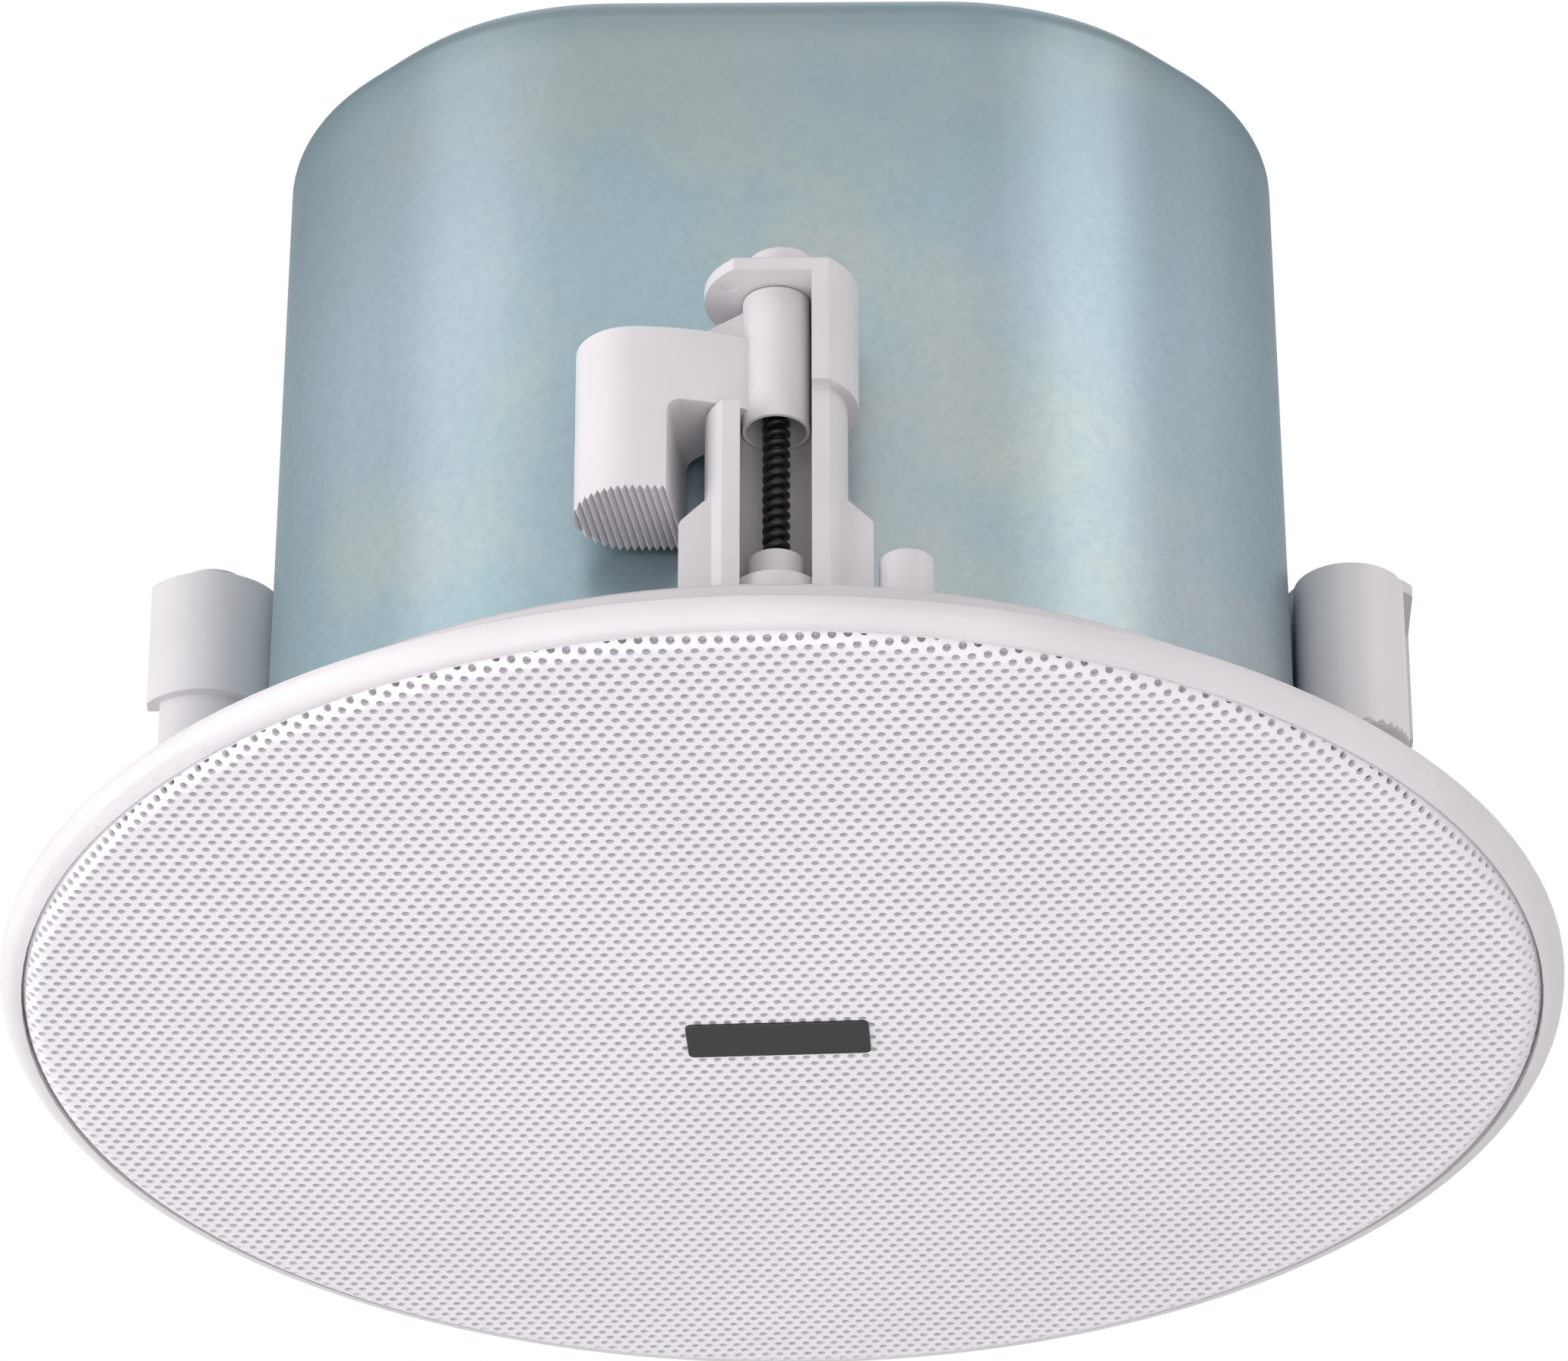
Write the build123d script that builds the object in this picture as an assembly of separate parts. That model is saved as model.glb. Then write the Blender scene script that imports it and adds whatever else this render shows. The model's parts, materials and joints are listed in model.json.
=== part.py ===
from build123d import *
import math
import os

# In-ceiling loudspeaker, millimetres. The origin is on the speaker's axis in the plane of the
# ceiling's underside, where the bezel's back bears. +Z points up into the ceiling void, -Y is the
# side with the first clamp tower.

# Fits
RUNNING_GAP = 0.05
MOVING_GAP = 0.35
SCREW_HOLE_GAP = 0.05
CLEAR_HOLE_GAP = 0.3
GLUE_GAP = 0.05

# Baffle moulding: collar, plate and bezel
COLLAR_R = 100.5
COLLAR_T = 3.0
COLLAR_H = 11.0
COLLAR_EDGE = 0.8
PLATE_T = 3.0
PLATE_FRONT_Z = COLLAR_H - PLATE_T
BEZEL_LAP = 14.5
BEZEL_R = COLLAR_R + BEZEL_LAP
RIM_W = 3.2
RIM_H = 3.8
RIM_EDGE = 0.3
FLANGE_T = 1.4

# Clamp hubs and screws, which set the bore of the towers
SCREW_R = 2.0
SCREW_HEAD_R = 3.8
SCREW_HEAD_H = 2.6
SCREW_SEAT_DEPTH = 5.4
SCREW_SEAT_Z = PLATE_FRONT_Z + SCREW_SEAT_DEPTH
SCREW_TIP_GAP = 0.6
SCREW_TIP_CHAMFER = 0.7
DRIVE_SLOT_W = 1.0
DRIVE_SLOT_L = 4.4
DRIVE_SLOT_DEPTH = 1.5
HUB_R = 4.8
HUB_WALL = 0.55
HUB_COUNTERBORE_R = HUB_R - HUB_WALL
HUB_COUNTERBORE_H = 7.0

# Clamp towers, measured from their screw's axis; the front is outward
TUBE_R = HUB_R + MOVING_GAP
SLOT_INSET = 0.1
SLOT_HALF = TUBE_R - SLOT_INSET
TOWER_WALL = 4.95
TOWER_R = TUBE_R + TOWER_WALL
TOWER_FRONT = 6.7
HOOD_STEP = 0.9
HOOD_R = TOWER_R + HOOD_STEP
HOOD_OUT = 2.0
HOOD_FRONT = TOWER_FRONT + HOOD_OUT
HOOD_SIDE = 0.7
TOWER_SET_IN = 2.2
CLAMP_RING_R = COLLAR_R - COLLAR_T - HOOD_FRONT - TOWER_SET_IN
FLOOR_H = 6.3
TOWER_FLOOR_Z = COLLAR_H + FLOOR_H
BOSS_R = HUB_COUNTERBORE_R - MOVING_GAP
BOSS_H = 5.2
WALL_TOP_Z = 45.4
HOOD_RISE = 2.2
HOOD_LOW_Z = WALL_TOP_Z + HOOD_RISE
WEB_RISE = 1.0
WEB_LOW_Z = WALL_TOP_Z + WEB_RISE
WEB_H = 11.9
ARM_TOP_Z = WEB_LOW_Z + WEB_H
LIP_RISE = 0.8
LIP_LOW_Z = ARM_TOP_Z + LIP_RISE
LIP_H = 7.0
LIP_INSIDE_X = 4.9
CAP_LOW_Z = LIP_LOW_Z + LIP_H
CAP_T = 2.3
CAP_TOP_Z = CAP_LOW_Z + CAP_T
CAP_EDGE_R = 0.6
EJECTOR_R = 1.35
EJECTOR_DEPTH = 0.2
EJECTOR_SIDE = 6.6
EJECTOR_OUT = 4.3
NUB_R = 5.0
NUB_H = 4.4
NUB_TOP_Z = CAP_TOP_Z + NUB_H
NUB_ROOF = 1.5
NUB_EDGE_R = 0.8
WING_W = 3.5
WING_HALF = TOWER_R + WING_W
WING_FRONT = 4.6
WING_BACK = 3.0
WING_TOP_Z = 29.9
WING_EDGE_R = 1.8
PEG_R = 3.85
PEG_SIDE = 18.2
PEG_OUT = 3.4
PEG_H = 9.6
PEG_EDGE_R = 0.6

# Back can, drawn from steel sheet: a square with broad cut corners
CAN_TOWER_GAP = 0.9
CAN_HALF = CLAMP_RING_R - TOWER_R - CAN_TOWER_GAP
CAN_CORNER_AT = 43.2
CAN_CORNER_R = 45.0
CAN_DRAFT = 0.44
CAN_TOP_Z = 130.0
CAN_TOP_R = 5.0
CAN_T = 0.8
CAN_INSIDE_Z = CAN_TOP_Z - CAN_T
CAN_FLANGE_W = 9.0
CAN_NOTCH_GAP = 2.0
CAN_NOTCH_HALF = PEG_SIDE + PEG_R + CAN_NOTCH_GAP
CAN_GASKET_T = 1.5
CAN_BASE_Z = COLLAR_H + CAN_GASKET_T
CAN_SCREW_SPREAD = 12.0

# Clamp arms, parked along the can's side
HUB_SINK = 1.2
HUB_LOW_Z = WALL_TOP_Z - HUB_SINK
HUB_TOP_Z = CAP_LOW_Z - MOVING_GAP
ARM_REACH = 28.5
ARM_OUT = 6.1
ARM_SWEEP_R = 40.0
ARM_CAN_GAP = 0.8
ARM_IN = CLAMP_RING_R - CAN_HALF - ARM_CAN_GAP
HOOD_PASS_GAP = 0.9
WEB_START = math.sqrt(HOOD_R**2 - SLOT_HALF**2) - HOOD_SIDE + HOOD_PASS_GAP
NECK_GAP = 0.45
NECK_HALF = SLOT_HALF - NECK_GAP
JAW_START = 15.4
JAW_LEAN = 9.0
JAW_Z = 31.0
NOTCH_R = 2.0
RIB_PITCH = 1.02
RIB_DEPTH = 0.8
GUSSET_L = 9.0
GUSSET_H = 5.4
GUSSET_T = 2.2

# Grille pan and its cloth
GRILLE_FIT = 0.2
GRILLE_R = BEZEL_R - RIM_W - GRILLE_FIT
GRILLE_T = 0.8
GRILLE_BEND_R = 3.0
GRILLE_EDGE_Z = -5.0
GRILLE_SAG = 1.2
GRILLE_SEAT_GAP = 0.05
CLOTH_T = 0.3

# Self-tapping screws
TAPPER_R = 1.7
TAPPER_HEAD_R = 3.2
TAPPER_HEAD_H = 2.2
TAPPER_BITE = 8.0
TAPPER_BOSS_R = 3.8
TAPPER_FLOOR = 1.0

# Woofer: opening, basket, soft parts and cone
BAFFLE_LAND = 4.3
BAFFLE_HOLE_R = CAN_HALF - CAN_T - BAFFLE_LAND
BASKET_RIM_W = 8.5
BASKET_R = BAFFLE_HOLE_R + BASKET_RIM_W
BASKET_T = 1.2
BASKET_ENTRY_GAP = 1.7
BASKET_THROAT_R = BAFFLE_HOLE_R - BASKET_ENTRY_GAP
BASKET_SHOULDER_IN = 2.3
BASKET_SHOULDER_R = BASKET_THROAT_R - BASKET_SHOULDER_IN
BASKET_SHOULDER_DEPTH = 6.0
WOOFER_GASKET_T = 1.2
BASKET_BACK_Z = PLATE_FRONT_Z - WOOFER_GASKET_T
BASKET_FRONT_Z = BASKET_BACK_Z - BASKET_T
WOOFER_SCREW_INSET = 3.8
WOOFER_SCREW_R = BASKET_R - WOOFER_SCREW_INSET
WOOFER_SCREW_COUNT = 4
SURROUND_T = 0.7
SURROUND_LIP_W = 4.7
ROLL_INSET = 2.5
ROLL_W = 9.1
ROLL_H = 4.2
ROLL_OUT_R = BASKET_THROAT_R - ROLL_INSET
ROLL_IN_R = ROLL_OUT_R - ROLL_W
CONE_RIM_W = 4.5
CONE_RIM_INSET = 0.2
CONE_RIM_R = ROLL_IN_R - CONE_RIM_INSET
CONE_T = 0.8
CONE_DEPTH = 25.4
CONE_NECK_Z = BASKET_FRONT_Z + CONE_DEPTH
SPIDER_T = 0.5
SPIDER_WAVES = 4
SPIDER_WAVE_H = 1.1
SPIDER_SET_BACK = 7.0
SHELF_Z = CONE_NECK_Z + SPIDER_SET_BACK
SHELF_IN_R = 33.0
SHELF_W = 8.5
SHELF_R = SHELF_IN_R + SHELF_W
SPOKE_COUNT = 6
SPOKE_W = 13.0
WINDOW_EDGE = 4.0
WINDOW_IN_R = SHELF_R + WINDOW_EDGE
WINDOW_OUT_R = BASKET_SHOULDER_R - WINDOW_EDGE
MOTOR_STEP = 6.0
MOTOR_Z = SHELF_Z + MOTOR_STEP
MOTOR_HOLE_R = 20.0
FORMER_R = 12.75
FORMER_T = 0.5
FORMER_LAP = 2.0
FORMER_FRONT_Z = CONE_NECK_Z - FORMER_LAP
FORMER_TAIL = 9.5
FORMER_BACK_Z = MOTOR_Z + FORMER_TAIL
CONE_NECK_R = FORMER_R + FORMER_T + GLUE_GAP
WINDING_T = 0.5
WINDING_L = 9.0

# Woofer motor
TOP_PLATE_R = 38.0
TOP_PLATE_T = 5.0
TOP_PLATE_BACK_Z = MOTOR_Z + TOP_PLATE_T
COIL_GAP = 0.5
MAGNET_R = 42.0
MAGNET_IN_R = 19.0
MAGNET_T = 15.0
MAGNET_BACK_Z = TOP_PLATE_BACK_Z + MAGNET_T
YOKE_R = 39.0
YOKE_T = 5.0
YOKE_BACK_Z = MAGNET_BACK_Z + YOKE_T

# Tweeter on its hollow post in front of the cone
TWEETER_R = 17.5
TWEETER_WALL = 1.8
TWEETER_FRONT_Z = 2.0
TWEETER_DEPTH = 16.0
TWEETER_BACK_Z = TWEETER_FRONT_Z + TWEETER_DEPTH
FACE_RING_T = 2.0
FACE_RING_IN_R = 13.4
DOME_PLAY = 0.5
DOME_R = 12.6
DOME_H = 3.6
DOME_T = 0.3
DOME_RIM_R = 15.2
DOME_RIM_Z = TWEETER_FRONT_Z + FACE_RING_T + DOME_PLAY
POST_R = 4.0
POST_BORE_R = 2.4
POST_FIT = 0.2
POST_NUT_R = 7.5
POST_NUT_T = 5.0
POST_END = 2.0

# Crossover inside the can's top
BOARD_L = 64.0
BOARD_W = 46.0
BOARD_T = 1.6
BOARD_DROP = 9.0
BOARD_TOP_Z = CAN_INSIDE_Z - BOARD_DROP
BOARD_LOW_Z = BOARD_TOP_Z - BOARD_T
STANDOFF_R = 2.6
STANDOFF_INSET = 5.0
BOARD_SCREW_R = 1.4
BOARD_SCREW_HEAD_R = 2.6
BOARD_SCREW_HEAD_H = 1.8
COIL_R = 13.0
COIL_IN_R = 6.5
COIL_H = 12.0
CAPACITOR_R = 6.0
CAPACITOR_L = 24.0
RESISTOR_L = 24.0
RESISTOR_W = 8.0
RESISTOR_H = 8.0
PART_SPACE = 1.0
PAD_T = 10.0
PAD_H = 50.0
PAD_DROP = 18.0
PAD_HIGH_Z = CAN_TOP_Z - PAD_DROP
PAD_LOW_Z = PAD_HIGH_Z - PAD_H

# Inner leads
LEAD_R = 0.8
LEAD_PITCH = 1.9
LEAD_RISE = 16.0
LEAD_GAP = 3.0
LEAD_X = MAGNET_R + LEAD_GAP
TAG_END = 1.5
TAG_W = 16.0
TAG_T = 1.6
LEAD_BOARD_X = 29.0
LEAD_BEND_R = 8.0

# Terminals and safety tether on the can's top
TERMINAL_L = 24.0
TERMINAL_W = 12.0
TERMINAL_H = 13.0
TERMINAL_POLES = 4
TERMINAL_WALL = 1.0
COVER_L = 52.0
COVER_W = 38.0
COVER_H = 21.0
COVER_T = 1.0
COVER_TAB = 10.0
COVER_CORNER_R = 4.0
GLAND_R = 7.5
GLAND_BORE_R = 4.0
GLAND_THREAD_R = 5.5
GLAND_FLANGE_T = 4.0
GLAND_DOME_L = 9.0
GLAND_NUT_T = 3.0
TETHER_X = 20.0
TETHER_SET_IN = 23.6
TETHER_Y = CAN_HALF - TETHER_SET_IN
TETHER_W = 20.0
TETHER_H = 21.0
TETHER_T = 2.0
TETHER_FOOT = 13.0
TETHER_HOLE_R = 4.0
RIVET_R = 2.0
RIVET_HEAD_R = 3.6
RIVET_HEAD_H = 1.2

CLAMP_SIDES = {"front": 0, "right": 90, "back": 180, "left": 270}
ON_BASE = (Align.CENTER, Align.CENTER, Align.MIN)


def rod(radius, low, high, x=0.0, y=0.0):
    """Upright cylinder between two heights."""
    return Pos(x, y, low) * Cylinder(radius, high - low, align=ON_BASE)


def tube(outer, inner, low, high, x=0.0, y=0.0):
    """Upright ring between two heights."""
    return rod(outer, low, high, x, y) - rod(inner, low, high, x, y)


def block(x_span, y_span, z_span):
    """Box between the given limits."""
    sizes = [high - low for low, high in (x_span, y_span, z_span)]
    corner = Pos(x_span[0], y_span[0], z_span[0])
    return corner * Box(*sizes, align=(Align.MIN, Align.MIN, Align.MIN))


def side_plate(outline, y_from, y_to):
    """Plate with the given outline in (x, z), between two distances along Y."""
    return Pos(0, y_to, 0) * extrude(Plane.XZ * outline, amount=y_to - y_from)


def turned(*edges):
    """Solid of revolution about the speaker's axis from edges in (radius, height)."""
    return revolve(Plane.XZ * make_face(Curve() + list(edges)), Axis.Z)


def turned_corners(*points):
    """Solid of revolution about the speaker's axis from (radius, height) corners."""
    return turned(Polyline(*points, close=True))


def sheet_corners(points, thickness):
    """Closed outline of a bent sheet: the given front line and its copy set back by the thickness."""
    back = []
    for index, point in enumerate(points):
        before = points[max(index - 1, 0)]
        after = points[min(index + 1, len(points) - 1)]
        normals = []
        for start, end in ((before, point), (point, after)):
            length = math.dist(start, end)
            if length > 0:
                normals.append(((end[1] - start[1]) / length, (start[0] - end[0]) / length))
        across = [sum(normal[axis] for normal in normals) / len(normals) for axis in (0, 1)]
        scale = thickness / (across[0] ** 2 + across[1] ** 2)
        back.append((point[0] + across[0] * scale, point[1] + across[1] * scale))
    return list(points) + back[::-1]


def quarter_bend(centre, radius, start, end):
    """Round bend between two directions, given in degrees, about a centre in (radius, height)."""
    points = []
    for angle in (start, (start + end) / 2, end):
        cosine, sine = math.cos(math.radians(angle)), math.sin(math.radians(angle))
        points.append((centre[0] + radius * cosine, centre[1] + radius * sine))
    return ThreePointArc(*points)


def crown_arc(rim_r, rim_z, depth):
    """Arc of a ball centred on the axis, from a downward dome's rim to its lowest point."""
    ball_r = (rim_r**2 + depth**2) / (2 * depth)
    half_angle = math.asin(rim_r / ball_r) / 2
    middle = (ball_r * math.sin(half_angle), rim_z - depth + ball_r * (1 - math.cos(half_angle)))
    return ThreePointArc((rim_r, rim_z), middle, (0, rim_z - depth))


def around(count, radius, first_angle=0.0):
    """Points evenly spaced on a circle about the axis."""
    angles = [math.radians(first_angle + 360 * index / count) for index in range(count)]
    return [(radius * math.cos(angle), radius * math.sin(angle)) for angle in angles]


def on_side(angle):
    """Place of a clamp's own axes on one side of the speaker."""
    return Rot(0, 0, angle) * Pos(0, -CLAMP_RING_R, 0)


def tapper(x, y, seat_z, tip_z):
    """Pan-head self-tapping screw on its seat, with its tip above or below it."""
    head_z = seat_z + math.copysign(TAPPER_HEAD_H, seat_z - tip_z)
    head = rod(TAPPER_HEAD_R, min(seat_z, head_z), max(seat_z, head_z), x, y)
    return head + rod(TAPPER_R, min(seat_z, tip_z), max(seat_z, tip_z), x, y)


def can_screw_places():
    """Two screws on each of the can's four cut corners."""
    out = (CAN_HALF + CAN_CORNER_AT) / math.sqrt(2) + CAN_FLANGE_W / 2
    places = []
    for angle in (45, 135, 225, 315):
        cosine, sine = math.cos(math.radians(angle)), math.sin(math.radians(angle))
        for along in (-CAN_SCREW_SPREAD, CAN_SCREW_SPREAD):
            places.append((out * cosine - along * sine, out * sine + along * cosine))
    return places


def woofer_screw_places():
    """Screws round the woofer's rim."""
    return around(WOOFER_SCREW_COUNT, WOOFER_SCREW_R, 45)


# Baffle moulding


def flat_fronted(radius, front, low, high):
    """Upright round bar with a flat at the given distance outward of its axis."""
    return rod(radius, low, high) & block((-radius, radius), (-front, radius), (low, high))


def bezel_and_plate():
    """Turned base of the moulding: rounded rim, grille recess, collar and baffle plate."""
    recess_r = BEZEL_R - RIM_W
    arc_z = RIM_W - RIM_H
    collar_in_r = COLLAR_R - COLLAR_T
    return turned(
        Polyline((collar_in_r, -FLANGE_T), (recess_r, -FLANGE_T), (recess_r, -RIM_H)),
        quarter_bend((recess_r, arc_z), RIM_W, -90, 0),
        Polyline(
            (BEZEL_R, arc_z),
            (BEZEL_R, -RIM_EDGE),
            (BEZEL_R - RIM_EDGE, 0),
            (COLLAR_R, 0),
            (COLLAR_R, COLLAR_H - COLLAR_EDGE),
            (COLLAR_R - COLLAR_EDGE, COLLAR_H),
            (BAFFLE_HOLE_R, COLLAR_H),
            (BAFFLE_HOLE_R, PLATE_FRONT_Z),
            (collar_in_r, PLATE_FRONT_Z),
            (collar_in_r, -FLANGE_T),
        ),
    )


def tower_wings():
    """Buttress plate that widens a tower's foot, with sloping shoulders."""
    shoulder_z = WING_TOP_Z - WING_W
    outline = Polyline(
        (-WING_HALF, COLLAR_H),
        (WING_HALF, COLLAR_H),
        (WING_HALF, shoulder_z),
        (TOWER_R, WING_TOP_Z),
        (-TOWER_R, WING_TOP_Z),
        (-WING_HALF, shoulder_z),
        close=True,
    )
    side = make_face(outline)
    shoulders = [vertex for vertex in side.vertices() if abs(vertex.Y - shoulder_z) < WING_W / 2]
    return side_plate(fillet(shoulders, WING_EDGE_R), -WING_FRONT, WING_BACK)


def clamp_tower():
    """Open-fronted tower with a hood over the arm's hub, in its own axes on the baffle plate."""
    tower = flat_fronted(TOWER_R, TOWER_FRONT, COLLAR_H, CAP_LOW_Z)
    hood = Pos(HOOD_SIDE, 0, 0) * flat_fronted(HOOD_R, HOOD_FRONT, HOOD_LOW_Z, CAP_TOP_Z)
    tower += fillet(hood.faces().sort_by(Axis.Z)[-1].edges(), CAP_EDGE_R)
    tower += tower_wings()
    past = 2 * HOOD_R
    tower -= rod(TUBE_R, TOWER_FLOOR_Z, CAP_LOW_Z)
    tower -= block((-SLOT_HALF, SLOT_HALF), (-past, 0), (COLLAR_H, CAP_LOW_Z))
    tower += rod(TOWER_FRONT, COLLAR_H, TOWER_FLOOR_Z)
    tower -= block((-past, 0), (-past, SLOT_HALF), (WALL_TOP_Z, CAP_LOW_Z))
    tower -= block((-past, -LIP_INSIDE_X), (0, past), (WALL_TOP_Z, LIP_LOW_Z))
    tower -= rod(EJECTOR_R, CAP_LOW_Z, CAP_LOW_Z + EJECTOR_DEPTH, -EJECTOR_SIDE, -EJECTOR_OUT)
    tower += rod(BOSS_R, TOWER_FLOOR_Z, TOWER_FLOOR_Z + BOSS_H)
    nub = rod(NUB_R, CAP_TOP_Z, NUB_TOP_Z, HOOD_SIDE)
    tower += fillet(nub.edges().sort_by(Axis.Z)[-1], NUB_EDGE_R)
    peg = rod(PEG_R, COLLAR_H, COLLAR_H + PEG_H, PEG_SIDE, -PEG_OUT)
    tower += fillet(peg.edges().sort_by(Axis.Z)[-1], PEG_EDGE_R)
    return tower


def baffle_frame():
    """One moulding: bezel, collar, plate, the towers and the screw bosses under the plate."""
    frame = bezel_and_plate()
    tower = clamp_tower()
    screw_way = rod(SCREW_R + RUNNING_GAP, PLATE_FRONT_Z, NUB_TOP_Z - NUB_ROOF)
    screw_way += rod(SCREW_HEAD_R + MOVING_GAP, PLATE_FRONT_Z, SCREW_SEAT_Z)
    for angle in CLAMP_SIDES.values():
        frame += on_side(angle) * tower
        frame -= on_side(angle) * screw_way
    hole_z = CAN_BASE_Z + CAN_T - TAPPER_BITE - TAPPER_FLOOR
    for x, y in can_screw_places():
        frame += rod(TAPPER_BOSS_R, hole_z - TAPPER_FLOOR, PLATE_FRONT_Z, x, y)
        frame -= rod(TAPPER_R + SCREW_HOLE_GAP, hole_z, COLLAR_H, x, y)
    for x, y in woofer_screw_places():
        frame -= rod(TAPPER_R + SCREW_HOLE_GAP, PLATE_FRONT_Z, COLLAR_H, x, y)
    return frame


# Clamps


def clamp_screw():
    """Long pan-head screw with a cross recess, captive between its seat and the cap's nub."""
    seat = SCREW_SEAT_Z - RUNNING_GAP
    shank = rod(SCREW_R, seat, NUB_TOP_Z - NUB_ROOF - SCREW_TIP_GAP)
    shank = chamfer(shank.edges().sort_by(Axis.Z)[-1], SCREW_TIP_CHAMFER)
    screw = rod(SCREW_HEAD_R, seat - SCREW_HEAD_H, seat) + shank
    half_l, half_w = DRIVE_SLOT_L / 2, DRIVE_SLOT_W / 2
    depth = (seat - SCREW_HEAD_H, seat - SCREW_HEAD_H + DRIVE_SLOT_DEPTH)
    screw -= block((-half_l, half_l), (-half_w, half_w), depth)
    screw -= block((-half_w, half_w), (-half_l, half_l), depth)
    return screw


def arm_plan():
    """Arm seen from above: a bar with a round end, whose outer side sweeps back to the hub."""
    end_r = (ARM_IN + ARM_OUT) / 2
    middle_y = (ARM_IN - ARM_OUT) / 2
    end_x = end_r - ARM_REACH
    length = -end_x - WEB_START
    bar = Pos(end_x + length / 2, middle_y) * Rectangle(length, 2 * end_r)
    inner_corner = bar.vertices().sort_by_distance((-WEB_START, ARM_IN, 0))[0]
    plan = fillet(inner_corner, length / 4) + Pos(end_x, middle_y) * Circle(end_r)
    plan += Pos(end_x / 2, (NECK_HALF - ARM_OUT) / 2) * Rectangle(-end_x, NECK_HALF + ARM_OUT)
    return plan & Pos(end_x, ARM_SWEEP_R - ARM_OUT) * Circle(ARM_SWEEP_R)


def clamp_arm():
    """Swing-out dog: hub on the screw, swept web with a gusset, and a jaw with slanting ribs."""
    arm = Pos(0, 0, JAW_Z) * extrude(arm_plan(), amount=ARM_TOP_Z - JAW_Z)
    jaw_side = Pos(-JAW_START, -ARM_OUT, 0) * Rot(0, 0, -JAW_LEAN)
    past = 2 * ARM_REACH
    notch = block((0, past), (-past, past), (JAW_Z, WEB_LOW_Z))
    roof_edge = notch.edges().filter_by(Axis.Y).sort_by_distance((0, 0, WEB_LOW_Z))[0]
    arm -= jaw_side * fillet(roof_edge, NOTCH_R)
    tooth = Polyline((-RIB_PITCH / 2, JAW_Z), (0, JAW_Z + RIB_DEPTH), (RIB_PITCH / 2, JAW_Z), close=True)
    groove = side_plate(make_face(tooth), -past, past)
    ribbed = ARM_REACH - JAW_START + (ARM_IN + ARM_OUT) * math.sin(math.radians(JAW_LEAN))
    for index in range(int(ribbed / RIB_PITCH)):
        arm -= jaw_side * Pos(-RIB_PITCH * (index + 0.5), 0, 0) * groove
    arm += rod(HUB_R, HUB_LOW_Z, HUB_TOP_Z)
    brace = Polyline(
        (0, ARM_TOP_Z),
        (0, ARM_TOP_Z + GUSSET_H),
        (-HUB_R, ARM_TOP_Z + GUSSET_H),
        (-HUB_R - GUSSET_L, ARM_TOP_Z),
        close=True,
    )
    arm += side_plate(make_face(brace), -GUSSET_T / 2, GUSSET_T / 2)
    arm -= rod(SCREW_R + RUNNING_GAP, HUB_LOW_Z, HUB_TOP_Z)
    arm -= rod(HUB_COUNTERBORE_R, HUB_LOW_Z, HUB_LOW_Z + HUB_COUNTERBORE_H)
    return arm


# Grille


def grille():
    """Pressed steel pan: crowned face, rounded bend and a short wall that fits inside the rim."""
    top_z = -FLANGE_T - GRILLE_SEAT_GAP
    face_r = GRILLE_R - GRILLE_BEND_R
    bend_z = GRILLE_EDGE_Z + GRILLE_BEND_R
    back_z = GRILLE_EDGE_Z + GRILLE_T
    wall_r = GRILLE_R - GRILLE_T
    return turned(
        Polyline((wall_r, bend_z), (wall_r, top_z), (GRILLE_R, top_z), (GRILLE_R, bend_z)),
        quarter_bend((face_r, bend_z), GRILLE_BEND_R, 0, -90),
        crown_arc(face_r, GRILLE_EDGE_Z, GRILLE_SAG),
        Line((0, GRILLE_EDGE_Z - GRILLE_SAG), (0, back_z - GRILLE_SAG)),
        crown_arc(face_r, back_z, GRILLE_SAG),
        quarter_bend((face_r, bend_z), GRILLE_BEND_R - GRILLE_T, 0, -90),
    )


def grille_cloth():
    """Acoustic cloth glued behind the grille's face and up the inside of its bend."""
    face_r = GRILLE_R - GRILLE_BEND_R
    bend_z = GRILLE_EDGE_Z + GRILLE_BEND_R
    front_z = GRILLE_EDGE_Z + GRILLE_T + GLUE_GAP
    back_z = front_z + CLOTH_T
    front_bend_r = bend_z - front_z
    back_bend_r = bend_z - back_z
    return turned(
        Line((face_r + back_bend_r, bend_z), (face_r + front_bend_r, bend_z)),
        quarter_bend((face_r, bend_z), front_bend_r, 0, -90),
        crown_arc(face_r, front_z, GRILLE_SAG),
        Line((0, front_z - GRILLE_SAG), (0, back_z - GRILLE_SAG)),
        crown_arc(face_r, back_z, GRILLE_SAG),
        quarter_bend((face_r, bend_z), back_bend_r, 0, -90),
    )


# Back can


def can_plan(grow=0.0):
    """Outline of the can, a square with cut corners and rounded edges, grown by a margin."""
    half = CAN_HALF + grow
    corner = CAN_CORNER_AT + grow * math.tan(math.radians(22.5))
    corners = []
    for angle in CLAMP_SIDES.values():
        for y in (-corner, corner):
            corners.append(Vector(half, y).rotate(Axis.Z, angle))
    plan = make_face(Polyline(*corners, close=True))
    return fillet(plan.vertices(), CAN_CORNER_R + grow)


def drawn_form(grow, high, edge_r):
    """Tapered solid of the can's outline with a rounded top."""
    body = Pos(0, 0, CAN_BASE_Z) * extrude(can_plan(grow), amount=high - CAN_BASE_Z, taper=CAN_DRAFT)
    return fillet(body.faces().sort_by(Axis.Z)[-1].edges(), edge_r)


def can_rim(low, high):
    """Flat rim round the can's mouth, cut away beside each tower."""
    rim = Pos(0, 0, low) * extrude(can_plan(CAN_FLANGE_W), amount=high - low)
    past = CAN_HALF + 2 * CAN_FLANGE_W
    notch = block((-CAN_NOTCH_HALF, CAN_NOTCH_HALF), (-past, -CAN_HALF), (low, high))
    for angle in CLAMP_SIDES.values():
        rim -= Rot(0, 0, angle) * notch
    for x, y in can_screw_places():
        rim -= rod(TAPPER_R + CLEAR_HOLE_GAP, low, high, x, y)
    return rim


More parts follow.
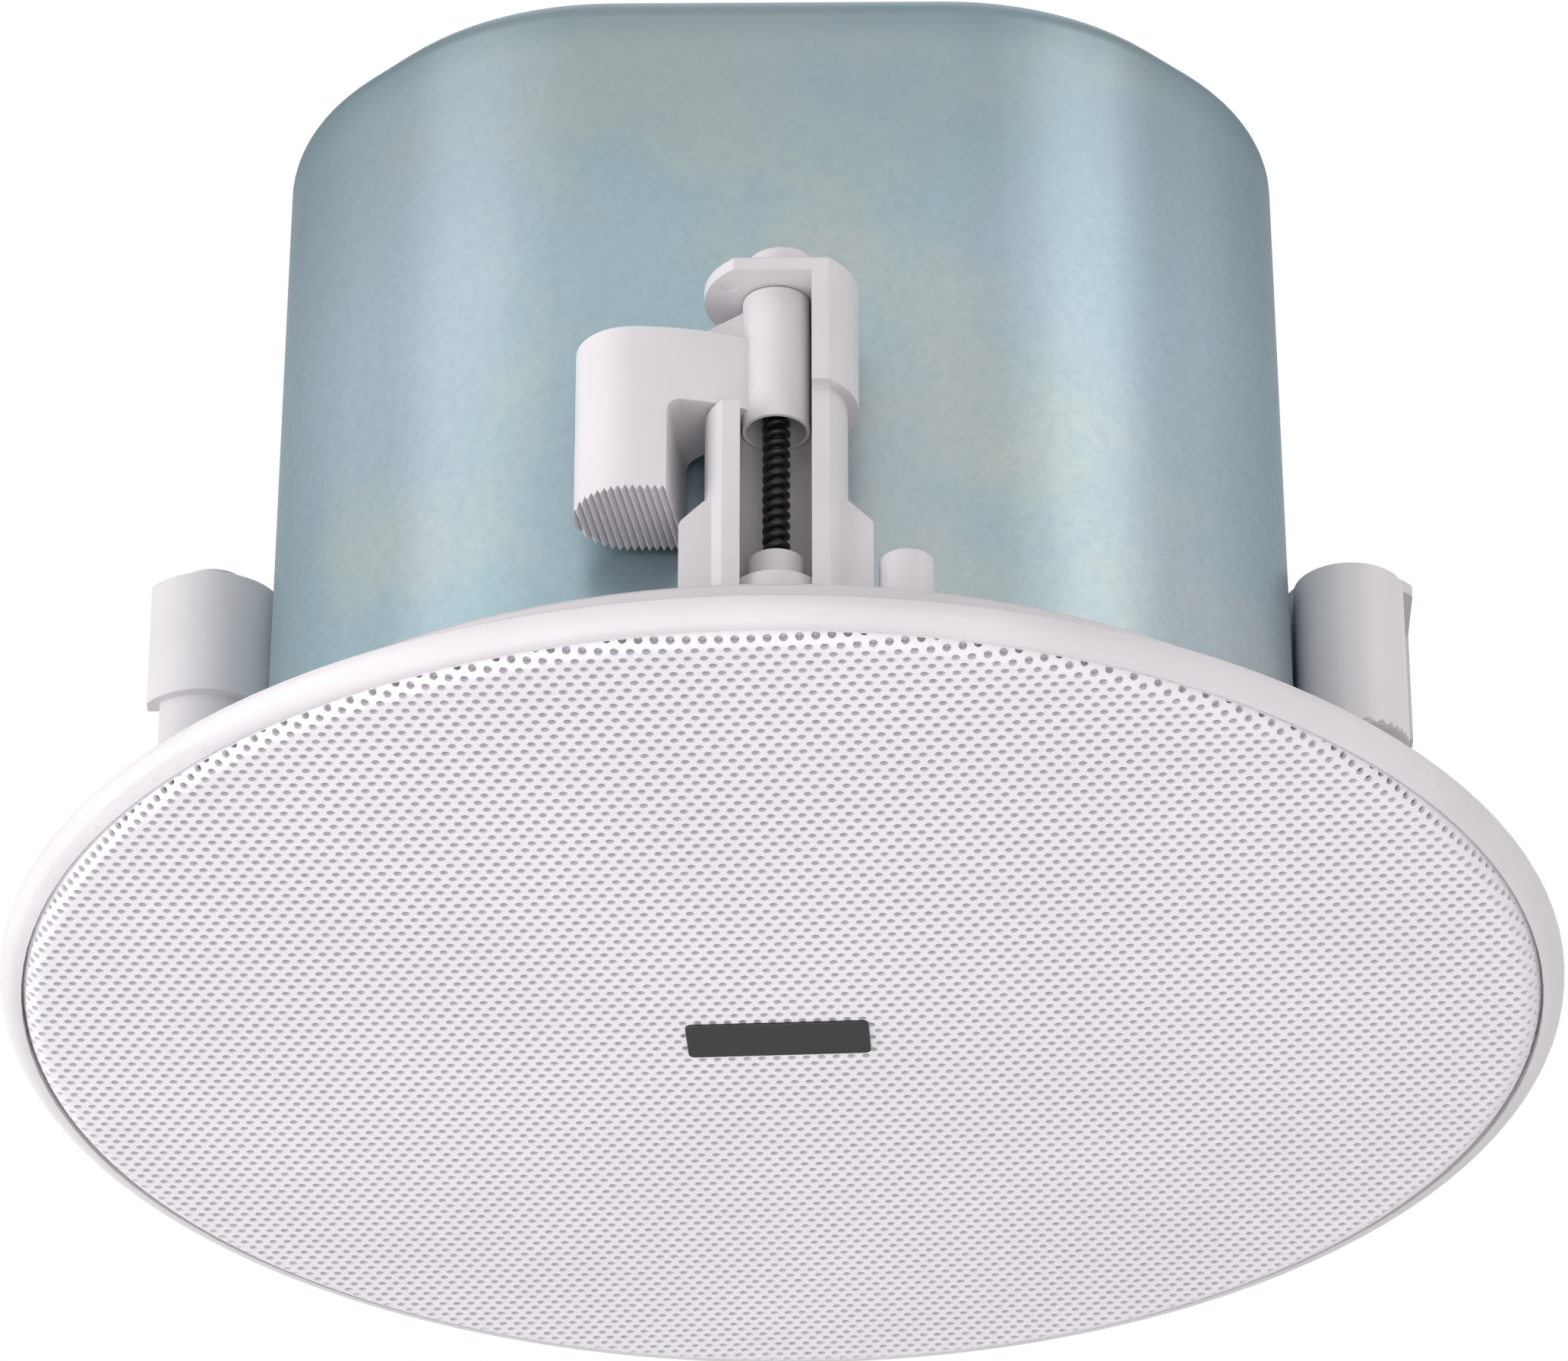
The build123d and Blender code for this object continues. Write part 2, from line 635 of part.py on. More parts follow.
def back_can():
    """Deep-drawn can with its rim, open towards the baffle."""
    can = drawn_form(0, CAN_TOP_Z, CAN_TOP_R)
    can += can_rim(CAN_BASE_Z, CAN_BASE_Z + CAN_T)
    can -= drawn_form(-CAN_T, CAN_INSIDE_Z, CAN_TOP_R - CAN_T)
    skin = (CAN_INSIDE_Z, CAN_TOP_Z)
    half_l, half_w = TERMINAL_L / 2 - TERMINAL_WALL, TERMINAL_W / 2 - TERMINAL_WALL
    can -= block((-half_l, half_l), (-half_w, half_w), skin)
    holes = [(place, TAPPER_R) for place in cover_screw_places()]
    holes += [(place, RIVET_R) for place in tether_rivet_places()]
    holes += [(place, BOARD_SCREW_R) for place in board_corners()]
    for (x, y), radius in holes:
        can -= rod(radius + SCREW_HOLE_GAP, *skin, x, y)
    return can


def can_gasket():
    """Foam gasket between the can's rim and the baffle plate."""
    inside = Pos(0, 0, COLLAR_H) * extrude(can_plan(-CAN_T), amount=CAN_GASKET_T)
    return can_rim(COLLAR_H, CAN_BASE_Z) - inside


def can_screws():
    """Self-tapping screws that hold the can to the baffle."""
    seat = CAN_BASE_Z + CAN_T
    return [tapper(x, y, seat, seat - TAPPER_BITE) for x, y in can_screw_places()]


def damping_pad():
    """Wadding that lines the can's wall behind the woofer."""
    lean = math.tan(math.radians(CAN_DRAFT)) * (PAD_HIGH_Z - CAN_BASE_Z)
    grow = -CAN_T - MOVING_GAP - lean
    outer = extrude(can_plan(grow), amount=PAD_H)
    inner = extrude(can_plan(grow - PAD_T), amount=PAD_H)
    return Pos(0, 0, PAD_LOW_Z) * (outer - inner)


# Woofer


def woofer_basket():
    """Pressed steel basket with open windows between its spokes."""
    front = [
        (BASKET_R, BASKET_FRONT_Z),
        (BASKET_THROAT_R, BASKET_FRONT_Z),
        (BASKET_SHOULDER_R, BASKET_FRONT_Z + BASKET_SHOULDER_DEPTH),
        (SHELF_R, SHELF_Z - BASKET_T),
        (SHELF_IN_R, SHELF_Z - BASKET_T),
        (SHELF_IN_R, MOTOR_Z - BASKET_T),
        (MOTOR_HOLE_R, MOTOR_Z - BASKET_T),
    ]
    basket = turned_corners(*sheet_corners(front, BASKET_T))
    depth = (BASKET_BACK_Z, SHELF_Z)
    window = tube(WINDOW_OUT_R, WINDOW_IN_R, *depth)
    half_w = SPOKE_W / 2
    for index in range(SPOKE_COUNT):
        spoke = block((0, BASKET_R), (-half_w, half_w), depth)
        window -= Rot(0, 0, 360 * index / SPOKE_COUNT) * spoke
    basket -= window
    for x, y in woofer_screw_places():
        basket -= rod(TAPPER_R + CLEAR_HOLE_GAP, BASKET_FRONT_Z, BASKET_BACK_Z, x, y)
    return basket


def woofer_gasket():
    """Foam ring between the basket's rim and the baffle plate."""
    ring = tube(BASKET_R, BAFFLE_HOLE_R, BASKET_BACK_Z, PLATE_FRONT_Z)
    for x, y in woofer_screw_places():
        ring -= rod(TAPPER_R + CLEAR_HOLE_GAP, BASKET_BACK_Z, PLATE_FRONT_Z, x, y)
    return ring


def woofer_screws():
    """Self-tapping screws that hold the woofer to the baffle."""
    return [tapper(x, y, BASKET_FRONT_Z, COLLAR_H) for x, y in woofer_screw_places()]


def surround():
    """Rubber half-roll between the basket's rim and the cone."""
    back, front = BASKET_FRONT_Z, BASKET_FRONT_Z - SURROUND_T
    middle = (ROLL_OUT_R + ROLL_IN_R) / 2
    outer_lip = ROLL_OUT_R + SURROUND_LIP_W
    inner_lip = CONE_RIM_R - CONE_RIM_W
    roll_out, roll_in = ROLL_OUT_R - SURROUND_T, ROLL_IN_R + SURROUND_T
    return turned(
        Polyline((roll_out, back), (outer_lip, back), (outer_lip, front), (ROLL_OUT_R, front)),
        ThreePointArc((ROLL_OUT_R, front), (middle, front - ROLL_H), (ROLL_IN_R, front)),
        Polyline((ROLL_IN_R, front), (inner_lip, front), (inner_lip, back), (roll_in, back)),
        ThreePointArc((roll_in, back), (middle, back - ROLL_H), (roll_out, back)),
    )


def cone():
    """Straight-sided cone with a flat rim for the surround."""
    inner_rim = CONE_RIM_R - CONE_RIM_W
    line = [(CONE_RIM_R, BASKET_FRONT_Z), (inner_rim, BASKET_FRONT_Z), (CONE_NECK_R, CONE_NECK_Z)]
    return turned_corners(*sheet_corners(line, CONE_T))


def spider():
    """Corrugated centring ring from the voice coil to the basket's shelf."""
    lip_z = SHELF_Z - BASKET_T - SPIDER_T
    line = [(SHELF_R - BASKET_T, lip_z)]
    steps = 2 * SPIDER_WAVES
    for index in range(steps + 1):
        radius = SHELF_IN_R + (CONE_NECK_R - SHELF_IN_R) * index / steps
        line.append((radius, lip_z - SPIDER_WAVE_H * (index % 2)))
    return turned_corners(*sheet_corners(line, SPIDER_T))


def voice_coil():
    """Former with its winding at the back end."""
    former = tube(FORMER_R + FORMER_T, FORMER_R, FORMER_FRONT_Z, FORMER_BACK_Z)
    outer = FORMER_R + FORMER_T + WINDING_T
    return former + tube(outer, FORMER_R, FORMER_BACK_Z - WINDING_L, FORMER_BACK_Z)


def top_plate():
    """Front pole plate of the motor, staked to the basket."""
    hole_r = FORMER_R + FORMER_T + WINDING_T + COIL_GAP
    return tube(TOP_PLATE_R, hole_r, MOTOR_Z, TOP_PLATE_BACK_Z)


def magnet():
    """Ferrite ring magnet."""
    return tube(MAGNET_R, MAGNET_IN_R, TOP_PLATE_BACK_Z, MAGNET_BACK_Z)


def yoke():
    """Back plate and pole in one turned piece, with a bore for the tweeter's post."""
    body = rod(YOKE_R, MAGNET_BACK_Z, YOKE_BACK_Z)
    body += rod(FORMER_R - COIL_GAP, MOTOR_Z, MAGNET_BACK_Z)
    return body - rod(POST_R + POST_FIT, MOTOR_Z, YOKE_BACK_Z)


def lead_tags():
    """Solder tag strip on the back of the basket's shelf."""
    start = SHELF_IN_R + BASKET_T + CLEAR_HOLE_GAP
    half_w = TAG_W / 2
    return block((start, LEAD_X + TAG_END), (-half_w, half_w), (SHELF_Z, SHELF_Z + TAG_T))


def woofer_leads():
    """Pair of wires from the board down to the tag strip, past the magnet."""
    tag_z = SHELF_Z + TAG_T
    turn_low, turn_high = YOKE_BACK_Z + LEAD_RISE, BOARD_LOW_Z - LEAD_RISE
    wires = []
    for y in (-LEAD_PITCH / 2, LEAD_PITCH / 2):
        points = [(LEAD_X, tag_z), (LEAD_X, turn_low), (LEAD_BOARD_X, turn_high), (LEAD_BOARD_X, BOARD_LOW_Z)]
        path = FilletPolyline(*[(x, y, z) for x, z in points], radius=LEAD_BEND_R)
        wires.append(sweep(Pos(LEAD_X, y, tag_z) * Circle(LEAD_R), path))
    return wires


# Tweeter


def tweeter_post():
    """Hollow stud that carries the tweeter through the pole's bore."""
    return tube(POST_R, POST_BORE_R, TWEETER_BACK_Z, YOKE_BACK_Z + POST_NUT_T + POST_END)


def post_nut():
    """Hexagon nut on the post behind the yoke."""
    nut = Pos(0, 0, YOKE_BACK_Z) * extrude(RegularPolygon(POST_NUT_R, 6), amount=POST_NUT_T)
    return nut - rod(POST_R + SCREW_HOLE_GAP, YOKE_BACK_Z, YOKE_BACK_Z + POST_NUT_T)


def tweeter_cup():
    """Plastic cup that houses the tweeter, bored for its leads."""
    floor_z = TWEETER_BACK_Z - TWEETER_WALL
    cup = rod(TWEETER_R, TWEETER_FRONT_Z + FACE_RING_T, TWEETER_BACK_Z)
    cup -= rod(TWEETER_R - TWEETER_WALL, TWEETER_FRONT_Z, floor_z)
    return cup - rod(POST_BORE_R, floor_z, TWEETER_BACK_Z)


def tweeter_motor():
    """Steel pot and magnet of the tweeter, bonded into the cup."""
    front_z = DOME_RIM_Z + DOME_T + DOME_PLAY
    return rod(TWEETER_R - TWEETER_WALL - GLUE_GAP, front_z, TWEETER_BACK_Z - TWEETER_WALL)


def tweeter_dome():
    """Soft dome with its flat rim."""
    back_z = DOME_RIM_Z + DOME_T
    return turned(
        Polyline((DOME_R, back_z), (DOME_RIM_R, back_z), (DOME_RIM_R, DOME_RIM_Z), (DOME_R, DOME_RIM_Z)),
        crown_arc(DOME_R, DOME_RIM_Z, DOME_H),
        Line((0, DOME_RIM_Z - DOME_H), (0, back_z - DOME_H)),
        crown_arc(DOME_R, back_z, DOME_H),
    )


def tweeter_face_ring():
    """Ring that closes the cup in front of the dome's rim."""
    return tube(TWEETER_R, FACE_RING_IN_R, TWEETER_FRONT_Z, TWEETER_FRONT_Z + FACE_RING_T)


def tweeter_leads():
    """Pair of wires from the board down through the post."""
    low = TWEETER_BACK_Z - TWEETER_WALL
    return [rod(LEAD_R, low, BOARD_LOW_Z, 0, y) for y in (-LEAD_PITCH / 2, LEAD_PITCH / 2)]


# Crossover


def board_corners():
    """Fixing places of the crossover board."""
    x, y = BOARD_L / 2 - STANDOFF_INSET, BOARD_W / 2 - STANDOFF_INSET
    return [(-x, -y), (x, -y), (x, y), (-x, y)]


def crossover_board():
    """Printed board with its fixing holes."""
    half_l, half_w = BOARD_L / 2, BOARD_W / 2
    board = block((-half_l, half_l), (-half_w, half_w), (BOARD_LOW_Z, BOARD_TOP_Z))
    for x, y in board_corners():
        board -= rod(BOARD_SCREW_R + CLEAR_HOLE_GAP, BOARD_LOW_Z, BOARD_TOP_Z, x, y)
    return board


def board_standoffs():
    """Spacers that hang the board from the can's top."""
    bore = BOARD_SCREW_R + SCREW_HOLE_GAP
    return [tube(STANDOFF_R, bore, BOARD_TOP_Z, CAN_INSIDE_Z, x, y) for x, y in board_corners()]


def board_screws():
    """Long screws up through the board and its spacers into the can."""
    screws = []
    for x, y in board_corners():
        head = rod(BOARD_SCREW_HEAD_R, BOARD_LOW_Z - BOARD_SCREW_HEAD_H, BOARD_LOW_Z, x, y)
        screws.append(head + rod(BOARD_SCREW_R, BOARD_LOW_Z, CAN_TOP_Z, x, y))
    return screws


def crossover_coil():
    """Air-cored inductor on the board's underside."""
    x = -COIL_R - PART_SPACE
    return tube(COIL_R, COIL_IN_R, BOARD_LOW_Z - COIL_H, BOARD_LOW_Z, x, 0)


def crossover_capacitor():
    """Film capacitor lying against the board's underside."""
    x = 2 * PART_SPACE + CAPACITOR_L / 2
    place = Pos(x, CAPACITOR_R + PART_SPACE, BOARD_LOW_Z - CAPACITOR_R - GLUE_GAP)
    return place * Rot(0, 90, 0) * Cylinder(CAPACITOR_R, CAPACITOR_L)


def crossover_resistor():
    """Cement resistor beside the capacitor."""
    x_span = (2 * PART_SPACE, 2 * PART_SPACE + RESISTOR_L)
    y_span = (-PART_SPACE - RESISTOR_W, -PART_SPACE)
    return block(x_span, y_span, (BOARD_LOW_Z - RESISTOR_H, BOARD_LOW_Z))


# Terminals and tether on the can's top


def terminal_block():
    """Screw terminal block soldered to the board, standing out through the can's top."""
    half_l, half_w = TERMINAL_L / 2, TERMINAL_W / 2
    top_z = CAN_TOP_Z + TERMINAL_H
    body = block((-half_l, half_l), (-half_w, half_w), (CAN_TOP_Z, top_z))
    tail_l = half_l - TERMINAL_WALL - CLEAR_HOLE_GAP
    tail_w = half_w - TERMINAL_WALL - CLEAR_HOLE_GAP
    body += block((-tail_l, tail_l), (-tail_w, tail_w), (BOARD_TOP_Z, CAN_TOP_Z))
    pitch = TERMINAL_L / TERMINAL_POLES
    entry = pitch / 2 - TERMINAL_WALL
    for index in range(TERMINAL_POLES):
        x = -half_l + pitch * (index + 0.5)
        low = CAN_TOP_Z + TERMINAL_WALL
        body -= block((x - entry, x + entry), (half_w / 2, half_w), (low, low + pitch))
        body -= rod(entry, top_z - 2 * TERMINAL_WALL, top_z, x, 0)
    return body


def cover_screw_places():
    """Screws through the terminal cover's two tabs."""
    x = COVER_L / 2 + COVER_TAB / 2
    return [(-x, 0), (x, 0)]


def along_y(shape):
    """Turn an upright piece so that its top points along +Y."""
    return Rot(-90, 0, 0) * shape


def gland_place():
    """Where the cable gland's axis meets the cover's outer wall."""
    return Pos(0, COVER_W / 2, CAN_TOP_Z + COVER_H / 2)


def terminal_cover():
    """Folded steel cover over the terminals, with a tab at each end and a hole for the gland."""
    on_top = Pos(0, 0, CAN_TOP_Z)
    cover = on_top * extrude(RectangleRounded(COVER_L, COVER_W, COVER_CORNER_R), amount=COVER_H)
    tabs = RectangleRounded(COVER_L + 2 * COVER_TAB, COVER_W / 2, COVER_CORNER_R)
    cover += on_top * extrude(tabs, amount=COVER_T)
    inner = RectangleRounded(COVER_L - 2 * COVER_T, COVER_W - 2 * COVER_T, COVER_CORNER_R - COVER_T)
    cover -= on_top * extrude(inner, amount=COVER_H - COVER_T)
    for x, y in cover_screw_places():
        cover -= rod(TAPPER_R + CLEAR_HOLE_GAP, CAN_TOP_Z, CAN_TOP_Z + COVER_T, x, y)
    hole_r = GLAND_THREAD_R + SCREW_HOLE_GAP
    return cover - gland_place() * along_y(rod(hole_r, -2 * COVER_T, COVER_T))


def cover_screws():
    """Screws that hold the terminal cover to the can."""
    seat = CAN_TOP_Z + COVER_T
    return [tapper(x, y, seat, CAN_INSIDE_Z - TAPPER_HEAD_H) for x, y in cover_screw_places()]


def cable_gland():
    """Cable gland in the cover's wall: hexagon, tapered cap and threaded neck, bored through."""
    neck_end = -COVER_T - GLAND_NUT_T
    body = extrude(RegularPolygon(GLAND_R, 6), amount=GLAND_FLANGE_T)
    cap_r = GLAND_R * math.cos(math.radians(30))
    cap = Cone(cap_r, GLAND_THREAD_R, GLAND_DOME_L, align=ON_BASE)
    body += Pos(0, 0, GLAND_FLANGE_T) * cap
    body += rod(GLAND_THREAD_R, neck_end, 0)
    body -= rod(GLAND_BORE_R, neck_end, GLAND_FLANGE_T + GLAND_DOME_L)
    return gland_place() * along_y(body)


def gland_nut():
    """Lock nut of the gland inside the cover."""
    nut = Pos(0, 0, -COVER_T - GLAND_NUT_T) * extrude(RegularPolygon(GLAND_R, 6), amount=GLAND_NUT_T)
    nut -= rod(GLAND_THREAD_R + SCREW_HOLE_GAP, -COVER_T - GLAND_NUT_T, -COVER_T)
    return gland_place() * along_y(nut)


def tether_rivet_places():
    """Rivets through the tether bracket's foot."""
    x = TETHER_X + TETHER_T + TETHER_FOOT / 2
    return [(x, TETHER_Y - TETHER_W / 4), (x, TETHER_Y + TETHER_W / 4)]


def tether_bracket():
    """Folded steel ear with a hole for the safety wire."""
    ear_r = TETHER_W / 2
    span = (TETHER_Y - ear_r, TETHER_Y + ear_r)
    ear_z = CAN_TOP_Z + TETHER_H - ear_r
    foot_end = TETHER_X + TETHER_T + TETHER_FOOT
    bracket = block((TETHER_X, foot_end), span, (CAN_TOP_Z, CAN_TOP_Z + TETHER_T))
    bracket += block((TETHER_X, TETHER_X + TETHER_T), span, (CAN_TOP_Z, ear_z))
    axis = Pos(TETHER_X, TETHER_Y, ear_z) * Rot(0, 90, 0)
    bracket += axis * rod(ear_r, 0, TETHER_T)
    bracket -= axis * rod(TETHER_HOLE_R, 0, TETHER_T)
    for x, y in tether_rivet_places():
        bracket -= rod(RIVET_R + SCREW_HOLE_GAP, CAN_TOP_Z, CAN_TOP_Z + TETHER_T, x, y)
    return bracket


def tether_rivets():
    """Rivets that hold the tether bracket to the can."""
    top_z = CAN_TOP_Z + TETHER_T
    rivets = []
    for x, y in tether_rivet_places():
        rivet = rod(RIVET_R, CAN_INSIDE_Z, top_z, x, y)
        rivet += rod(RIVET_HEAD_R, top_z, top_z + RIVET_HEAD_H, x, y)
        rivets.append(rivet + rod(RIVET_HEAD_R, CAN_INSIDE_Z - RIVET_HEAD_H, CAN_INSIDE_Z, x, y))
    return rivets


SINGLE_PIECES = (
    baffle_frame,
    grille,
    grille_cloth,
    back_can,
    can_gasket,
    can_screws,
    damping_pad,
    woofer_basket,
    woofer_gasket,
    woofer_screws,
    surround,
    cone,
    spider,
    voice_coil,
    top_plate,
    magnet,
    yoke,
    lead_tags,
    woofer_leads,
    tweeter_post,
    post_nut,
    tweeter_cup,
    tweeter_motor,
    tweeter_dome,
    tweeter_face_ring,
    tweeter_leads,
    crossover_board,
    board_standoffs,
    board_screws,
    crossover_coil,
    crossover_capacitor,
    crossover_resistor,
    terminal_block,
    terminal_cover,
    cover_screws,
    cable_gland,
    gland_nut,
    tether_bracket,
    tether_rivets,
)


def all_pieces():
    """Every node's name with its solid, or its list of like solids."""
    pieces = {make.__name__: make() for make in SINGLE_PIECES}
    arm, screw = clamp_arm(), clamp_screw()
    for side, angle in CLAMP_SIDES.items():
        pieces[f"clamp_arm_{side}"] = on_side(angle) * arm
        pieces[f"clamp_screw_{side}"] = on_side(angle) * screw
    return pieces


def write_steps(folder):
    """One STEP file for each node."""
    os.makedirs(folder, exist_ok=True)
    for name, piece in all_pieces().items():
        shape = Compound(children=piece) if isinstance(piece, list) else piece
        export_step(shape, os.path.join(folder, f"{name}.step"))


write_steps("parts")
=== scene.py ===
import json
import math

import bmesh
import bpy
from bpy.props import FloatProperty, FloatVectorProperty, IntProperty, PointerProperty
from mathutils import Matrix, Vector


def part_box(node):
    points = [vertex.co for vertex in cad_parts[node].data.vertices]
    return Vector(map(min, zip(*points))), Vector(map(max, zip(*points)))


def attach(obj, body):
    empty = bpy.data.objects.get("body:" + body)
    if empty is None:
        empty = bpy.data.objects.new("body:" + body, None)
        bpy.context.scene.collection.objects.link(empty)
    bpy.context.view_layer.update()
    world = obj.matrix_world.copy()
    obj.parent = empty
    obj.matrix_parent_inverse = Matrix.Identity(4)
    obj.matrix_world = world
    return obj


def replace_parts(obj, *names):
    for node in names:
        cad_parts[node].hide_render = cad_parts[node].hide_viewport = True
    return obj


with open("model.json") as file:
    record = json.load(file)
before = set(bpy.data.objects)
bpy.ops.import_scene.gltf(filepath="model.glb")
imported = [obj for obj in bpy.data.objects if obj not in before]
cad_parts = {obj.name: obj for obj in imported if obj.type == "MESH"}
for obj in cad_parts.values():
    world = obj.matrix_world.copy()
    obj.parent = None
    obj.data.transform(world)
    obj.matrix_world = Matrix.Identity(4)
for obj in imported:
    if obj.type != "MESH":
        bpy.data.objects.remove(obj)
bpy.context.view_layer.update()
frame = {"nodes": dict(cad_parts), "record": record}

bl_info = {
    "name": "In-ceiling loudspeaker",
    "version": (1, 0, 0),
    "blender": (4, 5, 0),
    "location": "View3D > Sidebar > Speaker",
    "description": "Dresses the packed ceiling loudspeaker: perforated grille, threads, finishes",
    "category": "Object",
}

MM = 0.001
MERGE = 1e-6  # points nearer than this are one point
FLAT = math.radians(0.2)  # faces within this angle are one flat face
SHARP = math.radians(38)  # edges beyond this angle are rounded
CREASE = math.radians(52)  # edges beyond this angle are shaded crisp
WAVE_SPAN = 0.31  # width of one band of the wave texture at scale 1
SIDES = {"front": 0, "right": 90, "back": 180, "left": 270}  # clamps, degrees about the axis
BODIES = frame["record"]["behaviour"]["bodies"]
BODY_OF = {node: body for body, nodes in BODIES.items() for node in nodes}

# Place, aim, size in metres and power in watts of each softbox
LAMPS = {
    "Left softbox": ((-1.18, -0.92, 0.83), (0, 0, 0.05), (1.2, 1.0), 3.5),
    "Right softbox": ((1.20, -0.90, 0.83), (0, 0, 0.05), (1.0, 1.0), 4.7),
    "Front softbox": ((-0.1, -1.5, 0.85), (0, 0, 0.05), (0.8, 0.6), 0.9),
    "Low softbox": ((-0.40, -0.30, -1.50), (0, 0, 0.0), (1.4, 1.4), 15.2),
    "Fill softbox": ((0.30, -1.35, -0.75), (0, 0, 0.03), (0.9, 0.9), 5.4),
    "Left side softbox": ((-1.45, -0.45, -0.25), (0, 0, 0.03), (1.0, 1.0), 16.5),
    "Right side softbox": ((1.45, -0.45, -0.25), (0, 0, 0.03), (1.0, 1.0), 4.0),
    "Top softbox": ((0.0, 0.55, 1.70), (0, 0, 0.05), (1.2, 1.2), 6.0),
}
FLOOR_Z = -5.0
FLOOR_HALF = 40.0
FLOOR_GLOW = 0.81  # share of its colour that the floor adds where the camera sees it
ROOM_LIGHT = 0.42  # world's strength on the object, against 1 where it is seen

# Camera, fitted to the photo
LENS = 180.86
TILT = math.radians(28.73)
TURN = math.radians(0.57)
DISTANCE = 1.163551
AIM_RIGHT = 0.000201
AIM_UP = 0.040905


def length(label, text, default):
    """A size in metres that a user may change."""
    return FloatProperty(
        name=label, description=text, default=default, min=0.0, unit="LENGTH", precision=5
    )


def colour(label, text, default):
    """A colour that a user may change."""
    return FloatVectorProperty(
        name=label, description=text, default=default, min=0, max=1, size=3, subtype="COLOR"
    )


class SpeakerSizes(bpy.types.PropertyGroup):
    """Sizes of what the scene adds to the solids."""

    hole_pitch: length("Hole pitch", "Distance between the grille's holes", 2.2 * MM)
    hole_width: length("Hole width", "Width of one round hole in the grille", 1.26 * MM)
    grille_turn: FloatProperty(
        name="Grille turn",
        description="How far the rows of holes are turned about the axis",
        default=math.radians(-2.78),
        subtype="ANGLE",
    )
    sheet: length("Grille sheet", "Thickness of the grille's steel sheet", 0.8 * MM)
    bend: length("Grille bend", "Radius of the bend at the grille's edge", 3.0 * MM)
    sag: length("Grille crown", "How far the grille's middle stands out from its edge", 1.2 * MM)
    plate_long: length("Plate length", "Length of the bare dark plate on the grille", 27.0 * MM)
    plate_wide: length("Plate width", "Width of the bare dark plate on the grille", 9.6 * MM)
    thread_pitch: length("Thread pitch", "Pitch of the clamp screws' coarse thread", 1.7 * MM)
    thread_root: length("Thread root", "Radius of the clamp screws between the threads", 1.2 * MM)
    edge: length("Moulded edge", "Rounding of the mouldings' edges", 0.3 * MM)
    fold: length("Metal edge", "Rounding of the metal pieces' edges", 0.2 * MM)
    thread_steps: IntProperty(
        name="Thread steps",
        description="Faces in one turn of the thread",
        default=20,
        min=8,
    )


class SpeakerFinishes(bpy.types.PropertyGroup):
    """Colours of the finishes."""

    moulding: colour("Moulding", "White plastic of the bezel and the towers", (0.675, 0.645, 0.667))
    arm: colour("Clamp arm", "White plastic of the clamp arms", (0.725, 0.69, 0.71))
    grille: colour("Grille", "Powder coat on the grille", (0.793, 0.772, 0.812))
    # colour with painted shade, deep in the grille's holes
    hole: colour("Holes", "Shade painted deep in the grille's holes", (0.67, 0.62, 0.68))
    cloth: colour("Cloth", "Cloth behind the grille", (0.70, 0.66, 0.71))
    zinc_blue: colour("Zinc, blue", "Main tone of the passivated can", (0.297, 0.392, 0.432))
    zinc_yellow: colour(
        "Zinc, yellow", "Yellowish tint of the passivated can", (0.395, 0.43, 0.405)
    )
    zinc_pale: colour("Zinc, pale", "Pale tint of the passivated can", (0.37, 0.41, 0.47))
    screw: colour("Clamp screw", "Black oxide on the clamp screws", (0.012, 0.012, 0.013))
    plate: colour("Plate", "Bare plate on the grille", (0.030, 0.028, 0.030))
    floor: colour("Floor", "Plain pale floor", (0.80, 0.80, 0.80))


# Finishes


class Signal:
    """One socket of a node tree, so that shader maths reads as Python."""

    def __init__(self, tree, socket):
        self.tree = tree
        self.socket = socket

    def _maths(self, operation, first, second):
        return self.tree.add("ShaderNodeMath", {"operation": operation}, {0: first, 1: second})

    def __add__(self, other):
        return self._maths("ADD", self, other)

    def __radd__(self, other):
        return self._maths("ADD", other, self)

    def __sub__(self, other):
        return self._maths("SUBTRACT", self, other)

    def __rsub__(self, other):
        return self._maths("SUBTRACT", other, self)

    def __mul__(self, other):
        return self._maths("MULTIPLY", self, other)

    def __rmul__(self, other):
        return self._maths("MULTIPLY", other, self)


class Tree:
    """A node tree whose nodes are all made by one method."""

    def __init__(self, node_tree):
        self.nodes = node_tree.nodes
        self.links = node_tree.links
        self.nodes.clear()

    def add(self, kind, settings=None, sockets=None, give=0):
        """Node of a kind with its settings, then the values or links of its sockets."""
        node = self.nodes.new(kind)
        for name, value in (settings or {}).items():
            setattr(node, name, value)
        for name, value in (sockets or {}).items():
            if isinstance(value, Signal):
                self.links.new(value.socket, node.inputs[name])
            else:
                node.inputs[name].default_value = value
        return Signal(self, node.outputs[give]) if node.outputs else None


